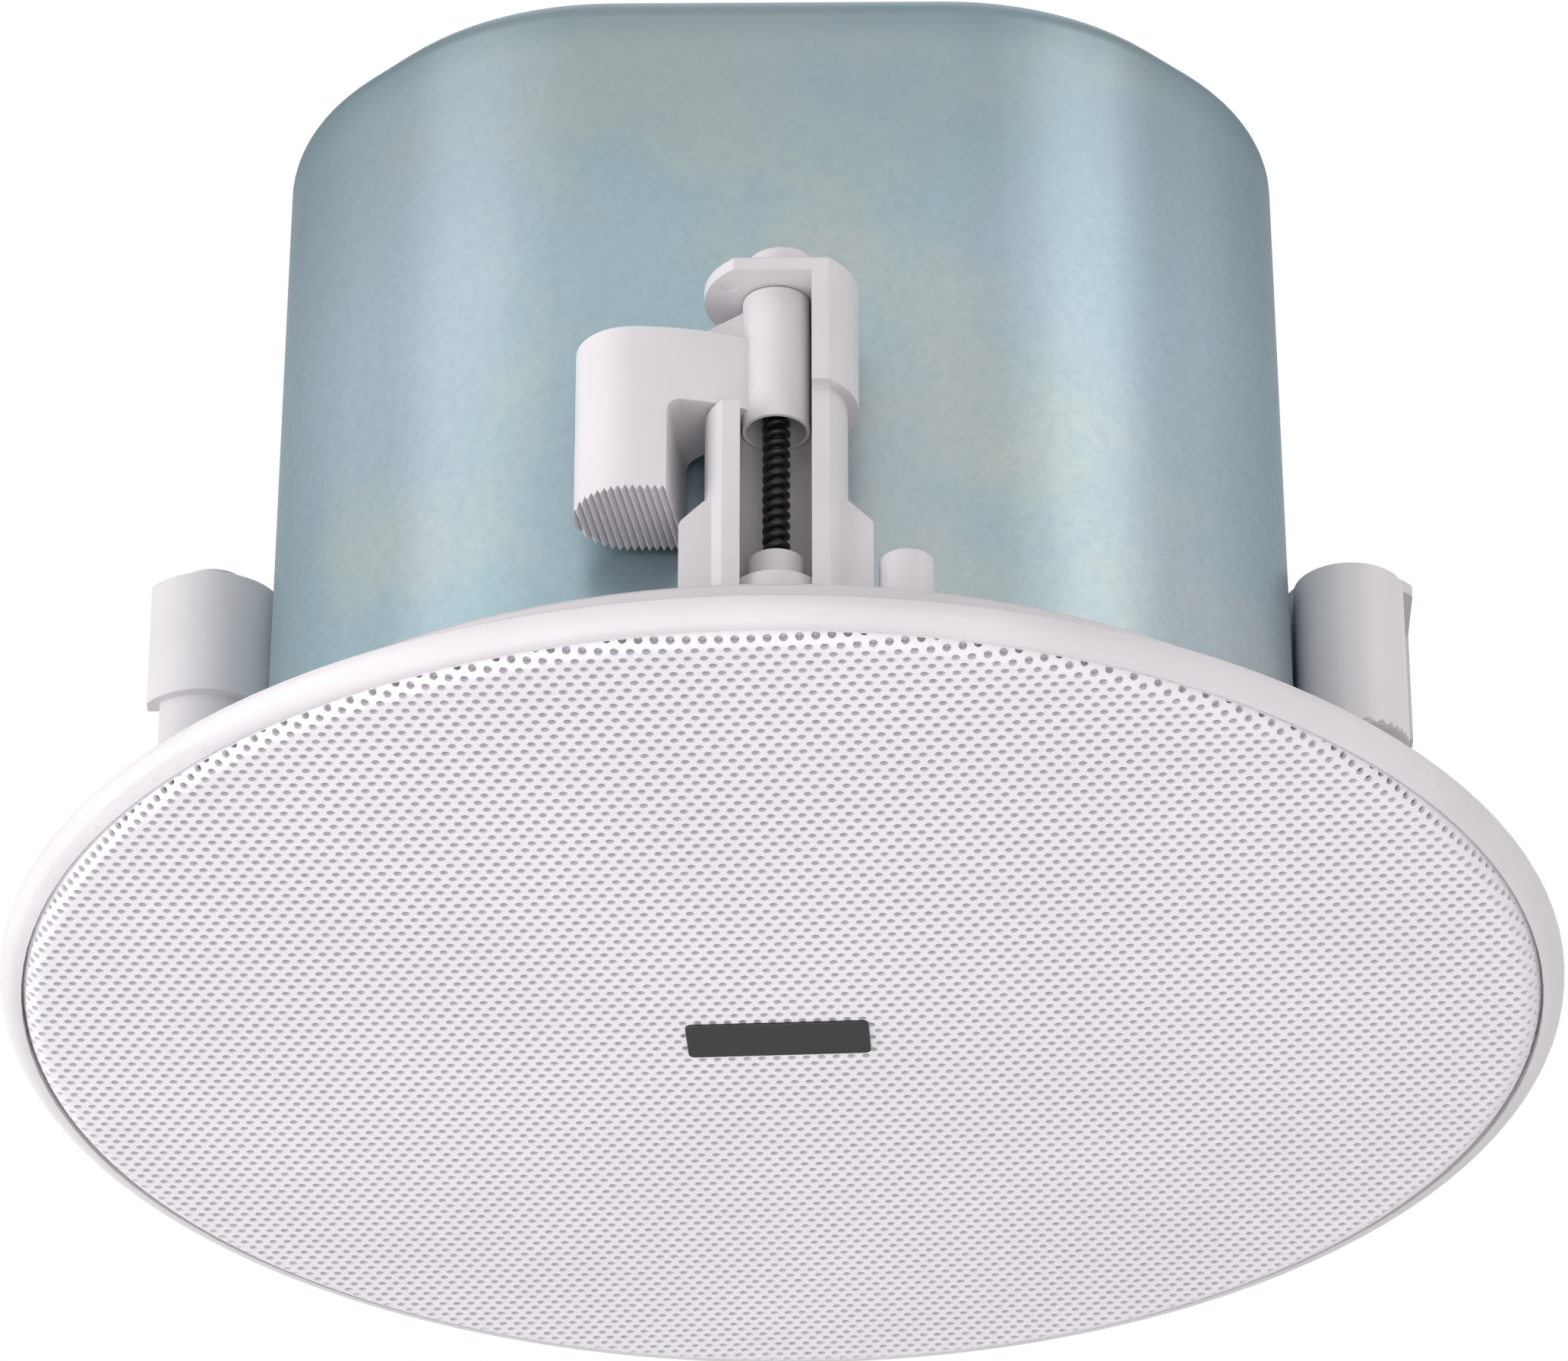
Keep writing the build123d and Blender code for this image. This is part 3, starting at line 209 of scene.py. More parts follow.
class Finish(Tree):
    """A procedural material on the piece's own coordinates."""

    def __init__(self, name):
        self.material = bpy.data.materials.new(name)
        self.material.use_nodes = True
        super().__init__(self.material.node_tree)
        self.place = self.add("ShaderNodeTexCoord", give="Object")

    def stretched(self, scale):
        """Coordinates with each axis scaled."""
        return self.add("ShaderNodeMapping", None, {"Vector": self.place, "Scale": scale})

    def noise(self, scale, detail=2.0, roughness=0.5, place=None):
        sockets = {"Vector": place or self.place, "Scale": scale}
        sockets |= {"Detail": detail, "Roughness": roughness}
        return self.add("ShaderNodeTexNoise", None, sockets, "Fac")

    def bands(self, direction, pitch):
        """Even waves along one axis, one to each pitch."""
        settings = {"wave_type": "BANDS", "bands_direction": direction, "wave_profile": "SIN"}
        sockets = {"Vector": self.place, "Scale": WAVE_SPAN / pitch}
        return self.add("ShaderNodeTexWave", settings, sockets, "Fac")

    def spread(self, value, low, high):
        """Value stretched from the given span to 0..1, smoothly."""
        sockets = {"Value": value, "From Min": low, "From Max": high}
        return self.add("ShaderNodeMapRange", {"interpolation_type": "SMOOTHSTEP"}, sockets)

    def mix(self, share, first, second):
        """Colour between two others."""
        first, second = [(*c, 1.0) if isinstance(c, tuple) else c for c in (first, second)]
        settings = {"data_type": "RGBA"}
        return self.add("ShaderNodeMix", settings, {0: share, 6: first, 7: second}, 2)

    def bump(self, height, depth, strength):
        sockets = {"Height": height, "Distance": depth, "Strength": strength}
        return self.add("ShaderNodeBump", None, sockets)

    def surface(self, **sockets):
        """The finished material, from the shader's sockets by name."""
        named = {name.replace("_", " "): value for name, value in sockets.items()}
        shader = self.add("ShaderNodeBsdfPrincipled", None, named)
        self.add("ShaderNodeOutputMaterial", None, {"Surface": shader})
        return self.material


def tint(shade, factor):
    """A colour made lighter or darker."""
    return tuple(min(1.0, channel * factor) for channel in shade)


def moulded(name, shade, roughness=0.42):
    """Moulded plastic with a faint flow mottle and a fine spark-eroded grain."""
    finish = Finish(name)
    mottle = finish.spread(finish.noise(45.0, 3.0), 0.3, 0.7)
    grain = finish.noise(2600.0, 3.0, 0.6)
    base = finish.mix(mottle, tint(shade, 0.965), tint(shade, 1.02))
    return finish.surface(
        Base_Color=base,
        Roughness=roughness - 0.05 + 0.10 * finish.noise(160.0, 2.0),
        Specular_IOR_Level=0.45,
        Normal=finish.bump(grain, 0.02 * MM, 0.5),
    )


def powder_coat(name, shade, hole_shade):
    """Powder-coated steel with its orange-peel skin, and painted shade down the holes."""
    finish = Finish(name)
    peel = finish.noise(1100.0, 2.0, 0.4)
    drift = finish.spread(finish.noise(20.0, 2.0), 0.3, 0.7)
    depth = finish.add("ShaderNodeAttribute", {"attribute_name": "depth"}, None, "Fac")
    coat = finish.mix(drift, tint(shade, 0.98), tint(shade, 1.015))
    return finish.surface(
        # painted shade: the coat darkens with depth down the holes
        Base_Color=finish.mix(depth, coat, hole_shade),
        Roughness=0.40 + 0.12 * peel,
        Specular_IOR_Level=0.4,
        Normal=finish.bump(peel, 0.03 * MM, 0.5),
    )


def woven(name, shade, pitch):
    """Plain open weave in two directions."""
    finish = Finish(name)
    weave = finish.bands("X", pitch) * finish.bands("Y", pitch)
    fuzz = finish.noise(900.0, 3.0, 0.6)
    return finish.surface(
        Base_Color=finish.mix(0.7 * weave + 0.3 * fuzz, tint(shade, 0.65), tint(shade, 1.2)),
        Roughness=0.85 + 0.1 * fuzz,
        Normal=finish.bump(weave, 0.1 * MM, 0.6),
    )


def passivated_zinc(name, blue, yellow, pale):
    """Zinc-plated sheet whose blue passivation drifts to yellow and pale patches.

    It has painted shade: darker towards the roof, and darkest on the roof's bend.
    """
    roof_shade_span, foot_span = (0.085, 0.145), (0.04, 0.10)  # heights on the can, in metres
    bend_start, bend_end = (0.119, 0.126), (0.1285, 0.1299)
    finish = Finish(name)
    cloud = finish.spread(finish.noise(17.0, 4.0, 0.6), 0.48, 0.66)
    tall = finish.stretched((1.0, 1.0, 0.45))
    veil = finish.spread(finish.noise(23.0, 2.0, 0.5, tall), 0.45, 0.75)
    height = finish.add("ShaderNodeSeparateXYZ", None, {"Vector": finish.place}, "Z")
    # painted shade: this mask darkens the can towards the roof
    roof_shade = finish.spread(height + 0.03 * finish.noise(18.0), *roof_shade_span)
    pebble = finish.noise(1500.0, 2.0, 0.55)
    ripple = finish.noise(800.0, 2.0, 0.5, finish.stretched((0.45, 0.45, 1.0)))
    creased = 1.0 - finish.spread(height + 0.04 * finish.noise(30.0), *foot_span)
    speck = finish.spread(finish.noise(650.0, 3.0, 0.6), 0.35, 0.7)
    base = finish.mix(0.8 * cloud, blue, yellow)
    base = finish.mix(0.6 * veil, base, pale)
    # painted shade towards the roof, then darker still on the roof's bend
    base = finish.mix(0.42 * roof_shade, base, tint(blue, 0.55))
    bend_shade = finish.spread(height, *bend_start) * (1.0 - finish.spread(height, *bend_end))
    base = finish.mix(0.35 * bend_shade, base, tint(blue, 0.45))
    base = finish.mix(0.22 * speck, base, tint(blue, 0.72))
    return finish.surface(
        Base_Color=base,
        Metallic=0.85,
        Roughness=0.36 + 0.10 * pebble,
        Specular_IOR_Level=0.5,
        Specular_Tint=(0.45, 0.48, 0.50, 1.0),
        Normal=finish.bump(0.5 * pebble + creased * ripple, 0.05 * MM, 0.6),
    )


def plain_metal(name, shade):
    """Bare or plated metal with turning marks."""
    finish = Finish(name)
    lines = finish.noise(700.0, 3.0, 0.6, finish.stretched((0.2, 0.2, 1.0)))
    patch = finish.spread(finish.noise(60.0, 3.0), 0.3, 0.7)
    return finish.surface(
        Base_Color=finish.mix(patch, tint(shade, 0.88), tint(shade, 1.06)),
        Metallic=0.95,
        Roughness=0.29 + 0.14 * lines,
        Normal=finish.bump(lines, 0.02 * MM, 0.4),
    )


def black_oxide(name, shade):
    """Oiled black oxide, worn a little in patches."""
    finish = Finish(name)
    wear = finish.spread(finish.noise(900.0, 3.0, 0.6), 0.55, 0.8)
    return finish.surface(
        Base_Color=finish.mix(wear, shade, tint(shade, 2.6)),
        Metallic=0.3,
        Roughness=0.30 + 0.2 * wear,
        Specular_IOR_Level=0.5,
    )


def soft(name, shade, grain_scale, roughness=0.8, depth=0.06):
    """Foam, wadding, rubber or fabric with its own grain."""
    finish = Finish(name)
    grain = finish.noise(grain_scale, 4.0, 0.65)
    tuft = finish.spread(grain, 0.3, 0.75)
    return finish.surface(
        Base_Color=finish.mix(tuft, tint(shade, 0.7), tint(shade, 1.2)),
        Roughness=roughness - 0.08 + 0.16 * grain,
        Specular_IOR_Level=0.3,
        Normal=finish.bump(grain, depth * MM, 0.7),
    )


def wound(name, shade, pitch):
    """Enamelled wire laid turn by turn along the axis."""
    finish = Finish(name)
    turns = finish.bands("Z", pitch)
    return finish.surface(
        Base_Color=finish.mix(turns, tint(shade, 0.55), shade),
        Metallic=0.85,
        Roughness=0.28 + 0.15 * finish.noise(300.0),
        Normal=finish.bump(turns, 0.1 * MM, 0.8),
    )


# Meshes


def merged_copy(node):
    """Copy of a solid's mesh with its points joined and its flat faces whole."""
    bm = bmesh.new()
    bm.from_mesh(frame["nodes"][node].data)
    bmesh.ops.remove_doubles(bm, verts=bm.verts, dist=MERGE)
    bmesh.ops.dissolve_limit(bm, angle_limit=FLAT, verts=bm.verts, edges=bm.edges)
    return bm


def rounded(bm, edges, edge_r, segments=2):
    """Round some edges."""
    bmesh.ops.bevel(
        bm,
        geom=edges,
        offset=edge_r,
        offset_type="OFFSET",
        affect="EDGES",
        segments=segments,
        profile=0.5,
        material=-1,
        clamp_overlap=True,
    )


def finished(bm, name, material, node):
    """Object for a mesh that stands for a solid and moves with it."""
    for face in bm.faces:
        face.smooth = True
    for edge in bm.edges:
        edge.smooth = not edge.is_manifold or edge.calc_face_angle() < CREASE
    mesh = bpy.data.meshes.new(name)
    bm.to_mesh(mesh)
    bm.free()
    mesh.materials.append(material)
    piece = bpy.data.objects.new(name, mesh)
    bpy.context.scene.collection.objects.link(piece)
    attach(piece, BODY_OF[node])
    return piece


def weighted(piece):
    """Keep flat faces flat beside their rounded edges."""
    modifier = piece.modifiers.new("Flat faces", "WEIGHTED_NORMAL")
    modifier.keep_sharp = True
    modifier.weight = 80
    return piece


def dressed(node, material, edge_r=0.0):
    """A solid's own form with rounded edges and smooth shading."""
    bm = merged_copy(node)
    if edge_r:
        solid = [edge for edge in bm.edges if edge.is_manifold]
        rounded(bm, [edge for edge in solid if edge.calc_face_angle() > SHARP], edge_r)
    piece = weighted(finished(bm, f"{node}_skin", material, node))
    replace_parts(piece, node)
    return piece


def turned_to(angle):
    """Place of one clamp, from the front one."""
    return Matrix.Rotation(math.radians(angle), 4, "Z")


# Pieces


class SPEAKER_OT_moulding(bpy.types.Operator):
    """Dress the one-piece moulding of bezel, collar, plate and towers"""

    bl_idname = "speaker.moulding"
    bl_label = "Moulding"

    def execute(self, context):
        shades, sizes = context.scene.speaker_finishes, context.scene.speaker_sizes
        dressed("baffle_frame", moulded("White moulding", tuple(shades.moulding)), sizes.edge)
        return {"FINISHED"}


class SPEAKER_OT_clamps(bpy.types.Operator):
    """Dress the clamp arms and thread their screws"""

    bl_idname = "speaker.clamps"
    bl_label = "Clamp arms and screws"

    def execute(self, context):
        shades, sizes = context.scene.speaker_finishes, context.scene.speaker_sizes
        arm = moulded("Clamp arm moulding", tuple(shades.arm), 0.40)
        oxide = black_oxide("Clamp screw oxide", tuple(shades.screw))
        for side, angle in SIDES.items():
            dressed(f"clamp_arm_{side}", arm, sizes.edge * 0.6)
            self.screw(f"clamp_screw_{side}", angle, sizes, oxide)
        return {"FINISHED"}

    def screw(self, node, angle, sizes, material):
        """Head of the solid with a core and a helical thread above it."""
        low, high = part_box("clamp_screw_front")
        axis = (low + high) / 2
        crest, head_h = 2.0 * MM, 2.6 * MM
        seat = low.z + head_h
        bm = bmesh.new()
        bm.from_mesh(frame["nodes"]["clamp_screw_front"].data)
        bmesh.ops.remove_doubles(bm, verts=bm.verts, dist=MERGE)
        everything = bm.verts[:] + bm.edges[:] + bm.faces[:]
        bmesh.ops.bisect_plane(
            bm,
            geom=everything,
            dist=MERGE,
            plane_co=(0, 0, seat),
            plane_no=(0, 0, 1),
            clear_outer=True,
        )
        bmesh.ops.holes_fill(bm, edges=bm.edges)
        core_h = high.z - seat
        core_at = Matrix.Translation((axis.x, axis.y, seat + core_h / 2))
        root = sizes.thread_root
        bmesh.ops.create_cone(
            bm,
            cap_ends=True,
            segments=24,
            radius1=root,
            radius2=root,
            depth=core_h,
            matrix=core_at,
        )
        pitch, steps = sizes.thread_pitch, sizes.thread_steps
        turns = int((core_h - 2 * pitch) / pitch)
        ridge = [(-0.08, 0.08), (0.68, 0.18), (0.96, 0.32), (1.0, 0.45)]
        ridge += [(0.96, 0.58), (0.68, 0.72), (-0.08, 0.82)]  # shares of the crest and the pitch
        profile = []
        for out, up in ridge:
            radius = root + out * (crest - root)
            height = seat + (0.5 + up) * pitch
            profile.append(bm.verts.new((axis.x + radius, axis.y, height)))
        edges = [bm.edges.new(pair) for pair in zip(profile, profile[1:])]
        bmesh.ops.spin(
            bm,
            geom=profile + edges,
            cent=(axis.x, axis.y, 0),
            axis=(0, 0, 1),
            dvec=(0, 0, pitch / steps),
            angle=2 * math.pi * turns,
            steps=turns * steps,
            use_merge=False,
        )
        bmesh.ops.remove_doubles(bm, verts=bm.verts, dist=MERGE)
        bmesh.ops.recalc_face_normals(bm, faces=bm.faces)
        bmesh.ops.transform(bm, matrix=turned_to(angle), verts=bm.verts)
        piece = finished(bm, f"{node}_thread", material, node)
        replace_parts(piece, node)


class SPEAKER_OT_grille(bpy.types.Operator):
    """Perforate the grille pan, back it with cloth and set the bare plate on it"""

    bl_idname = "speaker.grille"
    bl_label = "Grille, cloth and plate"
    shares = ("grille_middle", "grille_inner", "grille_outer", "grille_edge")

    def execute(self, context):
        shades, sizes = context.scene.speaker_finishes, context.scene.speaker_sizes
        low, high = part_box("grille")
        self.rim_r = (high.x - low.x) / 2
        self.low, self.top = low.z, high.z
        self.face_r = self.rim_r - sizes.bend
        self.bend_z = self.low + sizes.sag + sizes.bend
        coat = powder_coat("Grille powder coat", tuple(shades.grille), tuple(shades.hole))
        pan = self.sheet(sizes)
        self.press(pan, sizes)
        for index, name in enumerate(self.shares):
            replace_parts(finished(self.share(pan, index, sizes), name, coat, "grille"), "grille")
        pan.free()
        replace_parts(finished(self.rim(sizes), "grille_rim", coat, "grille"), "grille")
        cloth = dressed("grille_cloth", woven("Acoustic cloth", tuple(shades.cloth), 0.35 * MM))
        across = 2 * self.face_r + (sizes.bend - sizes.sheet) * math.pi
        math.pi * across**2 / 4
        self.plate(sizes, moulded("Bare plate", tuple(shades.plate), 0.35))
        return {"FINISHED"}

    def reach(self, sizes):
        """Developed radius of the pan's sheet, over its bend and up its wall."""
        return self.face_r + sizes.bend * math.pi / 2 + self.top - self.bend_z

    def share(self, pan, index, sizes):
        """One ring of the pan, of equal area to the others, with its sheet's thickness."""
        bm = pan.copy()
        count = len(self.shares)
        low, high = [self.rim_r * math.sqrt(step / count) for step in (index, index + 1)]
        away = []
        for face in bm.faces:
            radius = face.calc_center_median().xy.length
            if radius < low or (radius >= high and index < count - 1):
                away.append(face)
        bmesh.ops.delete(bm, geom=away, context="FACES")
        # depth runs from 0 on the sheet's face to 1 behind it, for the painted shade down the holes
        depth = bm.verts.layers.float.new("depth")
        front = set(bm.verts)
        bmesh.ops.solidify(bm, geom=bm.faces[:], thickness=sizes.sheet)
        for vert in bm.verts:
            vert[depth] = 0.0 if vert in front else 1.0
        return bm

    def rim(self, sizes):
        """Plain edge of the pan behind the last holes, round the bend and up the wall."""
        bm = bmesh.new()
        start = math.radians(57)  # how far round the bend it begins
        radius = sizes.bend - 0.05 * MM  # just behind the sheet's outer face
        out, down = radius * math.sin(start), radius * math.cos(start)
        first = bm.verts.new((self.face_r + out, 0, self.bend_z - down))
        arc = bmesh.ops.spin(
            bm,
            geom=[first],
            cent=(self.face_r, 0, self.bend_z),
            axis=(0, 1, 0),
            angle=start - math.pi / 2,
            steps=6,
            use_merge=False,
        )
        last = [item for item in arc["geom_last"] if isinstance(item, bmesh.types.BMVert)]
        wall = bmesh.ops.extrude_vert_indiv(bm, verts=last)
        bmesh.ops.translate(bm, verts=wall["verts"], vec=(0, 0, self.top - self.bend_z))
        bmesh.ops.spin(
            bm,
            geom=bm.verts[:] + bm.edges[:],
            cent=(0, 0, 0),
            axis=(0, 0, 1),
            angle=2 * math.pi,
            steps=192,
            use_merge=True,
        )
        bmesh.ops.remove_doubles(bm, verts=bm.verts, dist=MERGE)
        bmesh.ops.recalc_face_normals(bm, faces=bm.faces)
        bmesh.ops.solidify(bm, geom=bm.faces[:], thickness=0.6 * sizes.sheet)
        return bm

    def sheet(self, sizes):
        """Flat perforated sheet of six-sided cells with round holes, cut to a disc."""
        pitch, reach = sizes.hole_pitch, self.reach(sizes)
        enough = 2.1 * reach  # a little wider than the disc
        bm = bmesh.new()
        bmesh.ops.create_circle(bm, cap_ends=True, segments=12, radius=pitch / 2)
        for corner in bm.verts[:][::2]:
            corner.co *= 2 / math.sqrt(3)
        cell = bm.faces[:]
        bmesh.ops.inset_individual(bm, faces=cell, thickness=(pitch - sizes.hole_width) / 2)
        for vert in cell[0].verts:
            vert.co = vert.co.normalized() * sizes.hole_width / 2
        bmesh.ops.delete(bm, geom=cell, context="FACES_ONLY")
        row_step = pitch * math.sqrt(3) / 2
        self.repeat(bm, Vector((pitch / 2, row_step, 0)))
        count = 1
        while count * pitch < enough:
            self.repeat(bm, Vector((count * pitch, 0, 0)))
            count *= 2
        columns = round(count / 2)
        count = 2
        while count * row_step < enough:
            self.repeat(bm, Vector((0, count * row_step, 0)))
            count *= 2
        rows = 2 * round(count / 4)
        bmesh.ops.translate(bm, verts=bm.verts, vec=(-columns * pitch, -rows * row_step, 0))
        far = reach - 0.6 * pitch  # the plain rim goes on from here
        away = [vert for vert in bm.verts if vert.co.length > far]
        bmesh.ops.delete(bm, geom=away, context="VERTS")
        bmesh.ops.remove_doubles(bm, verts=bm.verts, dist=MERGE)
        return bm

    def repeat(self, bm, step):
        """Double what is there, one step along."""
        copy = bmesh.ops.duplicate(bm, geom=bm.verts[:] + bm.edges[:] + bm.faces[:])
        verts = [item for item in copy["geom"] if isinstance(item, bmesh.types.BMVert)]
        bmesh.ops.translate(bm, verts=verts, vec=step)

    def press(self, bm, sizes):
        """Turn the sheet and press it into the pan: crown, bend and wall."""
        turn = Matrix.Rotation(sizes.grille_turn, 3, "Z")
        bmesh.ops.rotate(bm, verts=bm.verts, cent=(0, 0, 0), matrix=turn)
        bmesh.ops.reverse_faces(bm, faces=bm.faces)
        for vert in bm.verts:
            along = vert.co.xy.length
            if along <= self.face_r:
                vert.co.z = self.low + sizes.sag * (along / self.face_r) ** 2
            else:
                angle = min((along - self.face_r) / sizes.bend, math.pi / 2)
                past = along - self.face_r - sizes.bend * math.pi / 2
                vert.co.xy *= (self.face_r + sizes.bend * math.sin(angle)) / along
                vert.co.z = self.bend_z - sizes.bend * math.cos(angle) + max(past, 0.0)

    def plate(self, sizes, material):
        """Thin bare plate with rounded corners on the middle of the grille."""
        bm = bmesh.new()
        thick, sunk = 0.4 * MM, 0.03 * MM
        corner_r, front_r = 1.0 * MM, 0.15 * MM
        middle_x, middle_y = -0.6 * MM, -0.5 * MM  # as in the photo
        size = Matrix.Diagonal((sizes.plate_long, sizes.plate_wide, thick, 1.0))
        bmesh.ops.create_cube(bm, size=1.0, matrix=size)
        upright = [edge for edge in bm.edges if edge.verts[0].co.z * edge.verts[1].co.z < 0]
        rounded(bm, upright, corner_r, 5)
        front = [edge for edge in bm.edges if all(vert.co.z < 0 for vert in edge.verts)]
        rounded(bm, [edge for edge in front if edge.calc_face_angle(0.0) > SHARP], front_r)
        place = Matrix.Translation((middle_x, middle_y, self.low - 0.5 * thick + sunk))
        turn = Matrix.Rotation(sizes.grille_turn, 4, "Z")
        bmesh.ops.transform(bm, matrix=place @ turn, verts=bm.verts)
        weighted(finished(bm, "bare_plate", material, "grille"))


class SPEAKER_OT_back_can(bpy.types.Operator):
    """Dress the can, pressed deep from one sheet, with its gasket and screws"""

    bl_idname = "speaker.back_can"
    bl_label = "Back can"

    def execute(self, context):
        shades, sizes = context.scene.speaker_finishes, context.scene.speaker_sizes
        tones = [tuple(tone) for tone in (shades.zinc_blue, shades.zinc_yellow, shades.zinc_pale)]
        zinc = passivated_zinc("Passivated zinc sheet", *tones)
        dressed("back_can", zinc)
        folded = passivated_zinc("Folded zinc sheet", *[tint(tone, 1.3) for tone in tones])
        for node in ("terminal_cover", "tether_bracket"):
            dressed(node, folded, sizes.fold)
        bright = plain_metal("Zinc plated screw", (0.62, 0.64, 0.66))
        for node in ("can_screws", "cover_screws"):
            dressed(node, bright, sizes.fold)
        dressed("tether_rivets", plain_metal("Rivet steel", (0.58, 0.58, 0.58)), sizes.fold)
        nylon = moulded("Gland nylon", (0.045, 0.045, 0.048), 0.4)
        for node in ("cable_gland", "gland_nut"):
            dressed(node, nylon, sizes.fold)
        dressed("can_gasket", soft("Gasket foam", (0.05, 0.05, 0.05), 1200.0))
        return {"FINISHED"}


class SPEAKER_OT_drivers(bpy.types.Operator):
    """Dress the woofer and the tweeter"""

    bl_idname = "speaker.drivers"
    bl_label = "Woofer and tweeter"

    def execute(self, context):
        steel = plain_metal("Turned steel", (0.56, 0.56, 0.57))
        painted = moulded("Black paint", (0.035, 0.035, 0.038), 0.35)
        black = moulded("Black plastic", (0.035, 0.035, 0.035), 0.45)
        foam = soft("Driver gasket foam", (0.05, 0.05, 0.05), 1200.0)
        looks = {
            "woofer_basket": painted,
            "woofer_gasket": foam,
            "woofer_screws": black_oxide("Woofer screw oxide", (0.02, 0.02, 0.022)),
            "surround": soft("Roll rubber", (0.025, 0.025, 0.026), 700.0, 0.55, 0.02),
            "cone": soft("Cone polymer", (0.04, 0.04, 0.044), 350.0, 0.5, 0.05),
            "spider": woven("Spider cloth", (0.55, 0.38, 0.15), 0.8 * MM),
            "voice_coil": wound("Voice coil wire", (0.62, 0.32, 0.15), 0.4 * MM),
            "top_plate": steel,
            "magnet": soft("Ferrite", (0.07, 0.07, 0.075), 500.0, 0.55, 0.03),
            "yoke": steel,
            "lead_tags": moulded("Tag strip laminate", (0.30, 0.17, 0.07), 0.5),
            "woofer_leads": moulded("Woofer lead sleeve", (0.30, 0.03, 0.03), 0.4),
            "tweeter_post": steel,
            "post_nut": plain_metal("Nut zinc", (0.62, 0.62, 0.58)),
            "tweeter_cup": black,
            "tweeter_motor": steel,
            "tweeter_dome": soft("Dome silk", (0.03, 0.03, 0.035), 1500.0, 0.6, 0.02),
            "tweeter_face_ring": black,
            "tweeter_leads": moulded("Tweeter lead sleeve", (0.05, 0.05, 0.055), 0.4),
        }
        for node, look in looks.items():
            dressed(node, look)
        wadding = soft("Polyester wadding", (0.75, 0.75, 0.73), 160.0, 0.95, 1.2)
        dressed("damping_pad", wadding)
        return {"FINISHED"}


class SPEAKER_OT_crossover(bpy.types.Operator):
    """Dress the crossover and the terminals"""

    bl_idname = "speaker.crossover"
    bl_label = "Crossover and terminals"

    def execute(self, context):
        sizes = context.scene.speaker_sizes
        looks = {
            "crossover_board": moulded("Board laminate", (0.05, 0.20, 0.08), 0.4),
            "board_standoffs": moulded("Spacer nylon", (0.70, 0.70, 0.68), 0.5),
            "board_screws": plain_metal("Board screw zinc", (0.62, 0.64, 0.66)),
            "crossover_coil": wound("Coil wire", (0.62, 0.30, 0.13), 1.0 * MM),
            "crossover_capacitor": moulded("Capacitor film", (0.55, 0.12, 0.07), 0.25),
            "crossover_resistor": soft("Resistor cement", (0.72, 0.71, 0.66), 900.0, 0.85, 0.04),
            "terminal_block": moulded("Terminal plastic", (0.03, 0.03, 0.03), 0.4),
        }
        for node, look in looks.items():
            dressed(node, look, sizes.fold)
        return {"FINISHED"}


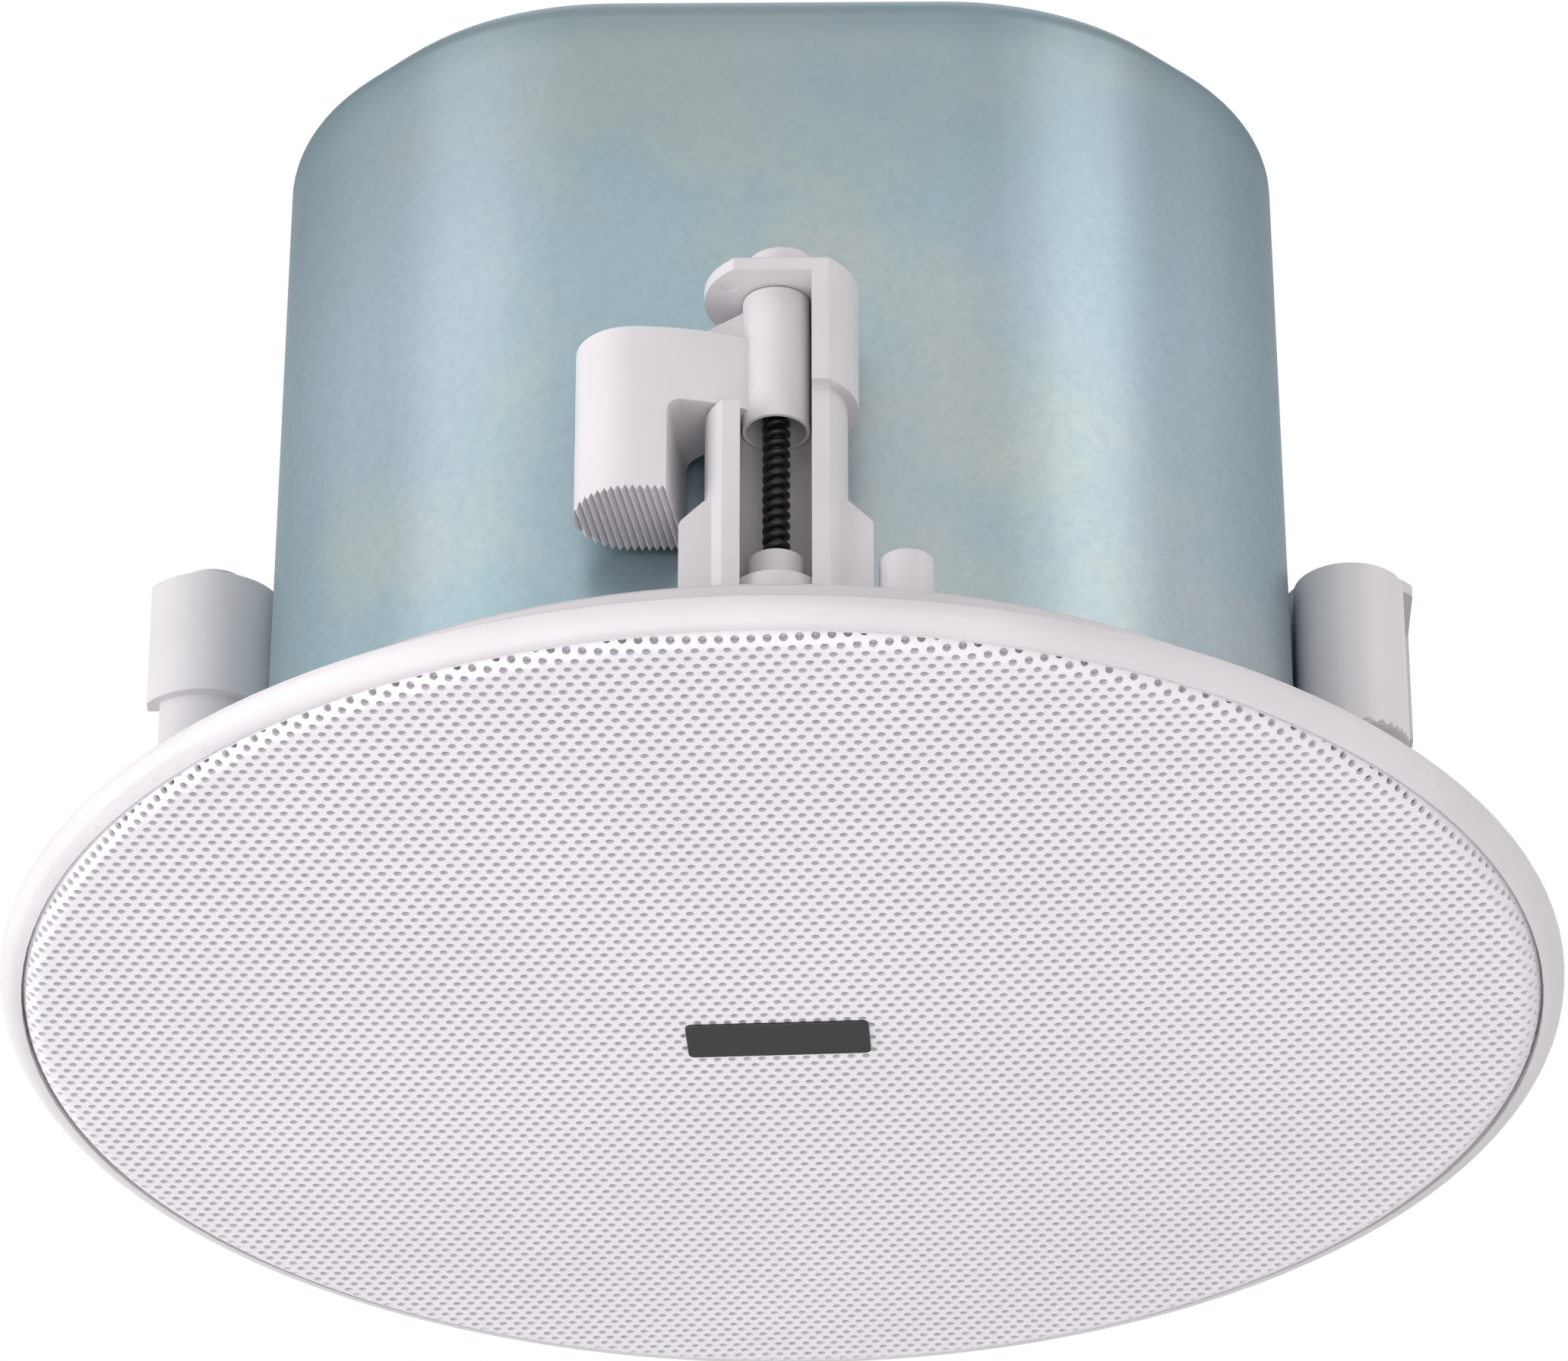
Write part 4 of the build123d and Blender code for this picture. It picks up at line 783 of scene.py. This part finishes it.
class SPEAKER_OT_stage(bpy.types.Operator):
    """Set the floor, the light and the camera"""

    bl_idname = "speaker.stage"
    bl_label = "Stage"

    def execute(self, context):
        scene = context.scene
        scene.view_settings.view_transform = "Standard"
        self.floor(scene)
        self.world(scene)
        for name, (place, aim, size, watts) in LAMPS.items():
            self.lamp(name, Vector(place), Vector(aim), size, watts)
        self.camera(scene)
        return {"FINISHED"}

    def floor(self, scene):
        """Plain pale floor, far below, white where the camera sees it."""
        bm = bmesh.new()
        place = Matrix.Translation((0, 0, FLOOR_Z))
        bmesh.ops.create_grid(bm, x_segments=4, y_segments=4, size=FLOOR_HALF, matrix=place)
        finish = Finish("Pale floor")
        shade = tuple(scene.speaker_finishes.floor)
        drift = finish.noise(1.5, 2.0)
        seen = finish.add("ShaderNodeLightPath", give="Is Camera Ray")
        material = finish.surface(
            Base_Color=finish.mix(drift, tint(shade, 0.99), tint(shade, 1.01)),
            Roughness=0.8,
            Emission_Color=finish.mix(seen, (0.0, 0.0, 0.0), tint(shade, FLOOR_GLOW)),
            Emission_Strength=1.0,
        )
        mesh = bpy.data.meshes.new("floor")
        bm.to_mesh(mesh)
        bm.free()
        mesh.materials.append(material)
        floor = bpy.data.objects.new("floor", mesh)
        scene.collection.objects.link(floor)

    def world(self, scene):
        """Even room light, white where it is seen directly or in a reflection."""
        scene.world = bpy.data.worlds.new("Studio")
        scene.world.use_nodes = True
        tree = Tree(scene.world.node_tree)
        seen = tree.add("ShaderNodeLightPath", give="Is Camera Ray")
        for name in ("Is Glossy Ray", "Is Transmission Ray"):
            ray = tree.add("ShaderNodeLightPath", give=name)
            seen = tree.add("ShaderNodeMath", {"operation": "MAXIMUM"}, {0: seen, 1: ray})
        strength = ROOM_LIGHT + (1.0 - ROOM_LIGHT) * seen
        white = (1.0, 1.0, 1.0, 1.0)
        light = tree.add("ShaderNodeBackground", None, {"Color": white, "Strength": strength})
        tree.add("ShaderNodeOutputWorld", None, {"Surface": light})

    def lamp(self, name, place, aim, size, watts):
        """Softbox that the camera doesn't see."""
        data = bpy.data.lights.new(name, "AREA")
        data.shape = "RECTANGLE"
        data.size, data.size_y = size
        data.energy = watts
        lamp = bpy.data.objects.new(name, data)
        lamp.location = place
        lamp.rotation_euler = (aim - place).to_track_quat("-Z", "Y").to_euler()
        lamp.visible_camera = False
        bpy.context.scene.collection.objects.link(lamp)

    def camera(self, scene):
        """Camera below and in front, at the photo's viewing angle."""
        data = bpy.data.cameras.new("Photo view")
        data.sensor_width = 36.0
        data.lens = LENS
        data.clip_start = 0.05
        camera = bpy.data.objects.new("Photo view", data)
        ahead = Vector((0, math.cos(TILT), math.sin(TILT)))
        above = Vector((0, -math.sin(TILT), math.cos(TILT)))
        turn = Matrix.Rotation(TURN, 3, "Z")
        camera.location = turn @ (-DISTANCE * ahead)
        aim = turn @ (ahead + Vector((AIM_RIGHT, 0, 0)) + AIM_UP * above)
        camera.rotation_euler = aim.to_track_quat("-Z", "Y").to_euler()
        scene.collection.objects.link(camera)
        scene.camera = camera


OPERATORS = (
    SPEAKER_OT_moulding,
    SPEAKER_OT_grille,
    SPEAKER_OT_clamps,
    SPEAKER_OT_back_can,
    SPEAKER_OT_drivers,
    SPEAKER_OT_crossover,
    SPEAKER_OT_stage,
)


class SPEAKER_PT_panel(bpy.types.Panel):
    """The speaker's pieces in the sidebar"""

    bl_idname = "SPEAKER_PT_panel"
    bl_label = "Ceiling loudspeaker"
    bl_space_type = "VIEW_3D"
    bl_region_type = "UI"
    bl_category = "Speaker"

    def draw(self, context):
        for group in (context.scene.speaker_sizes, context.scene.speaker_finishes):
            for name in group.__annotations__:
                self.layout.prop(group, name)
        for operator in OPERATORS:
            self.layout.operator(operator.bl_idname)


CLASSES = (SpeakerSizes, SpeakerFinishes, *OPERATORS, SPEAKER_PT_panel)


def register():
    for cls in CLASSES:
        bpy.utils.register_class(cls)
    bpy.types.Scene.speaker_sizes = PointerProperty(type=SpeakerSizes)
    bpy.types.Scene.speaker_finishes = PointerProperty(type=SpeakerFinishes)


def unregister():
    del bpy.types.Scene.speaker_finishes
    del bpy.types.Scene.speaker_sizes
    for cls in reversed(CLASSES):
        bpy.utils.unregister_class(cls)


def main():
    register()
    for operator in OPERATORS:
        group, name = operator.bl_idname.split(".")
        getattr(getattr(bpy.ops, group), name)()


if __name__ == "__main__":
    main()
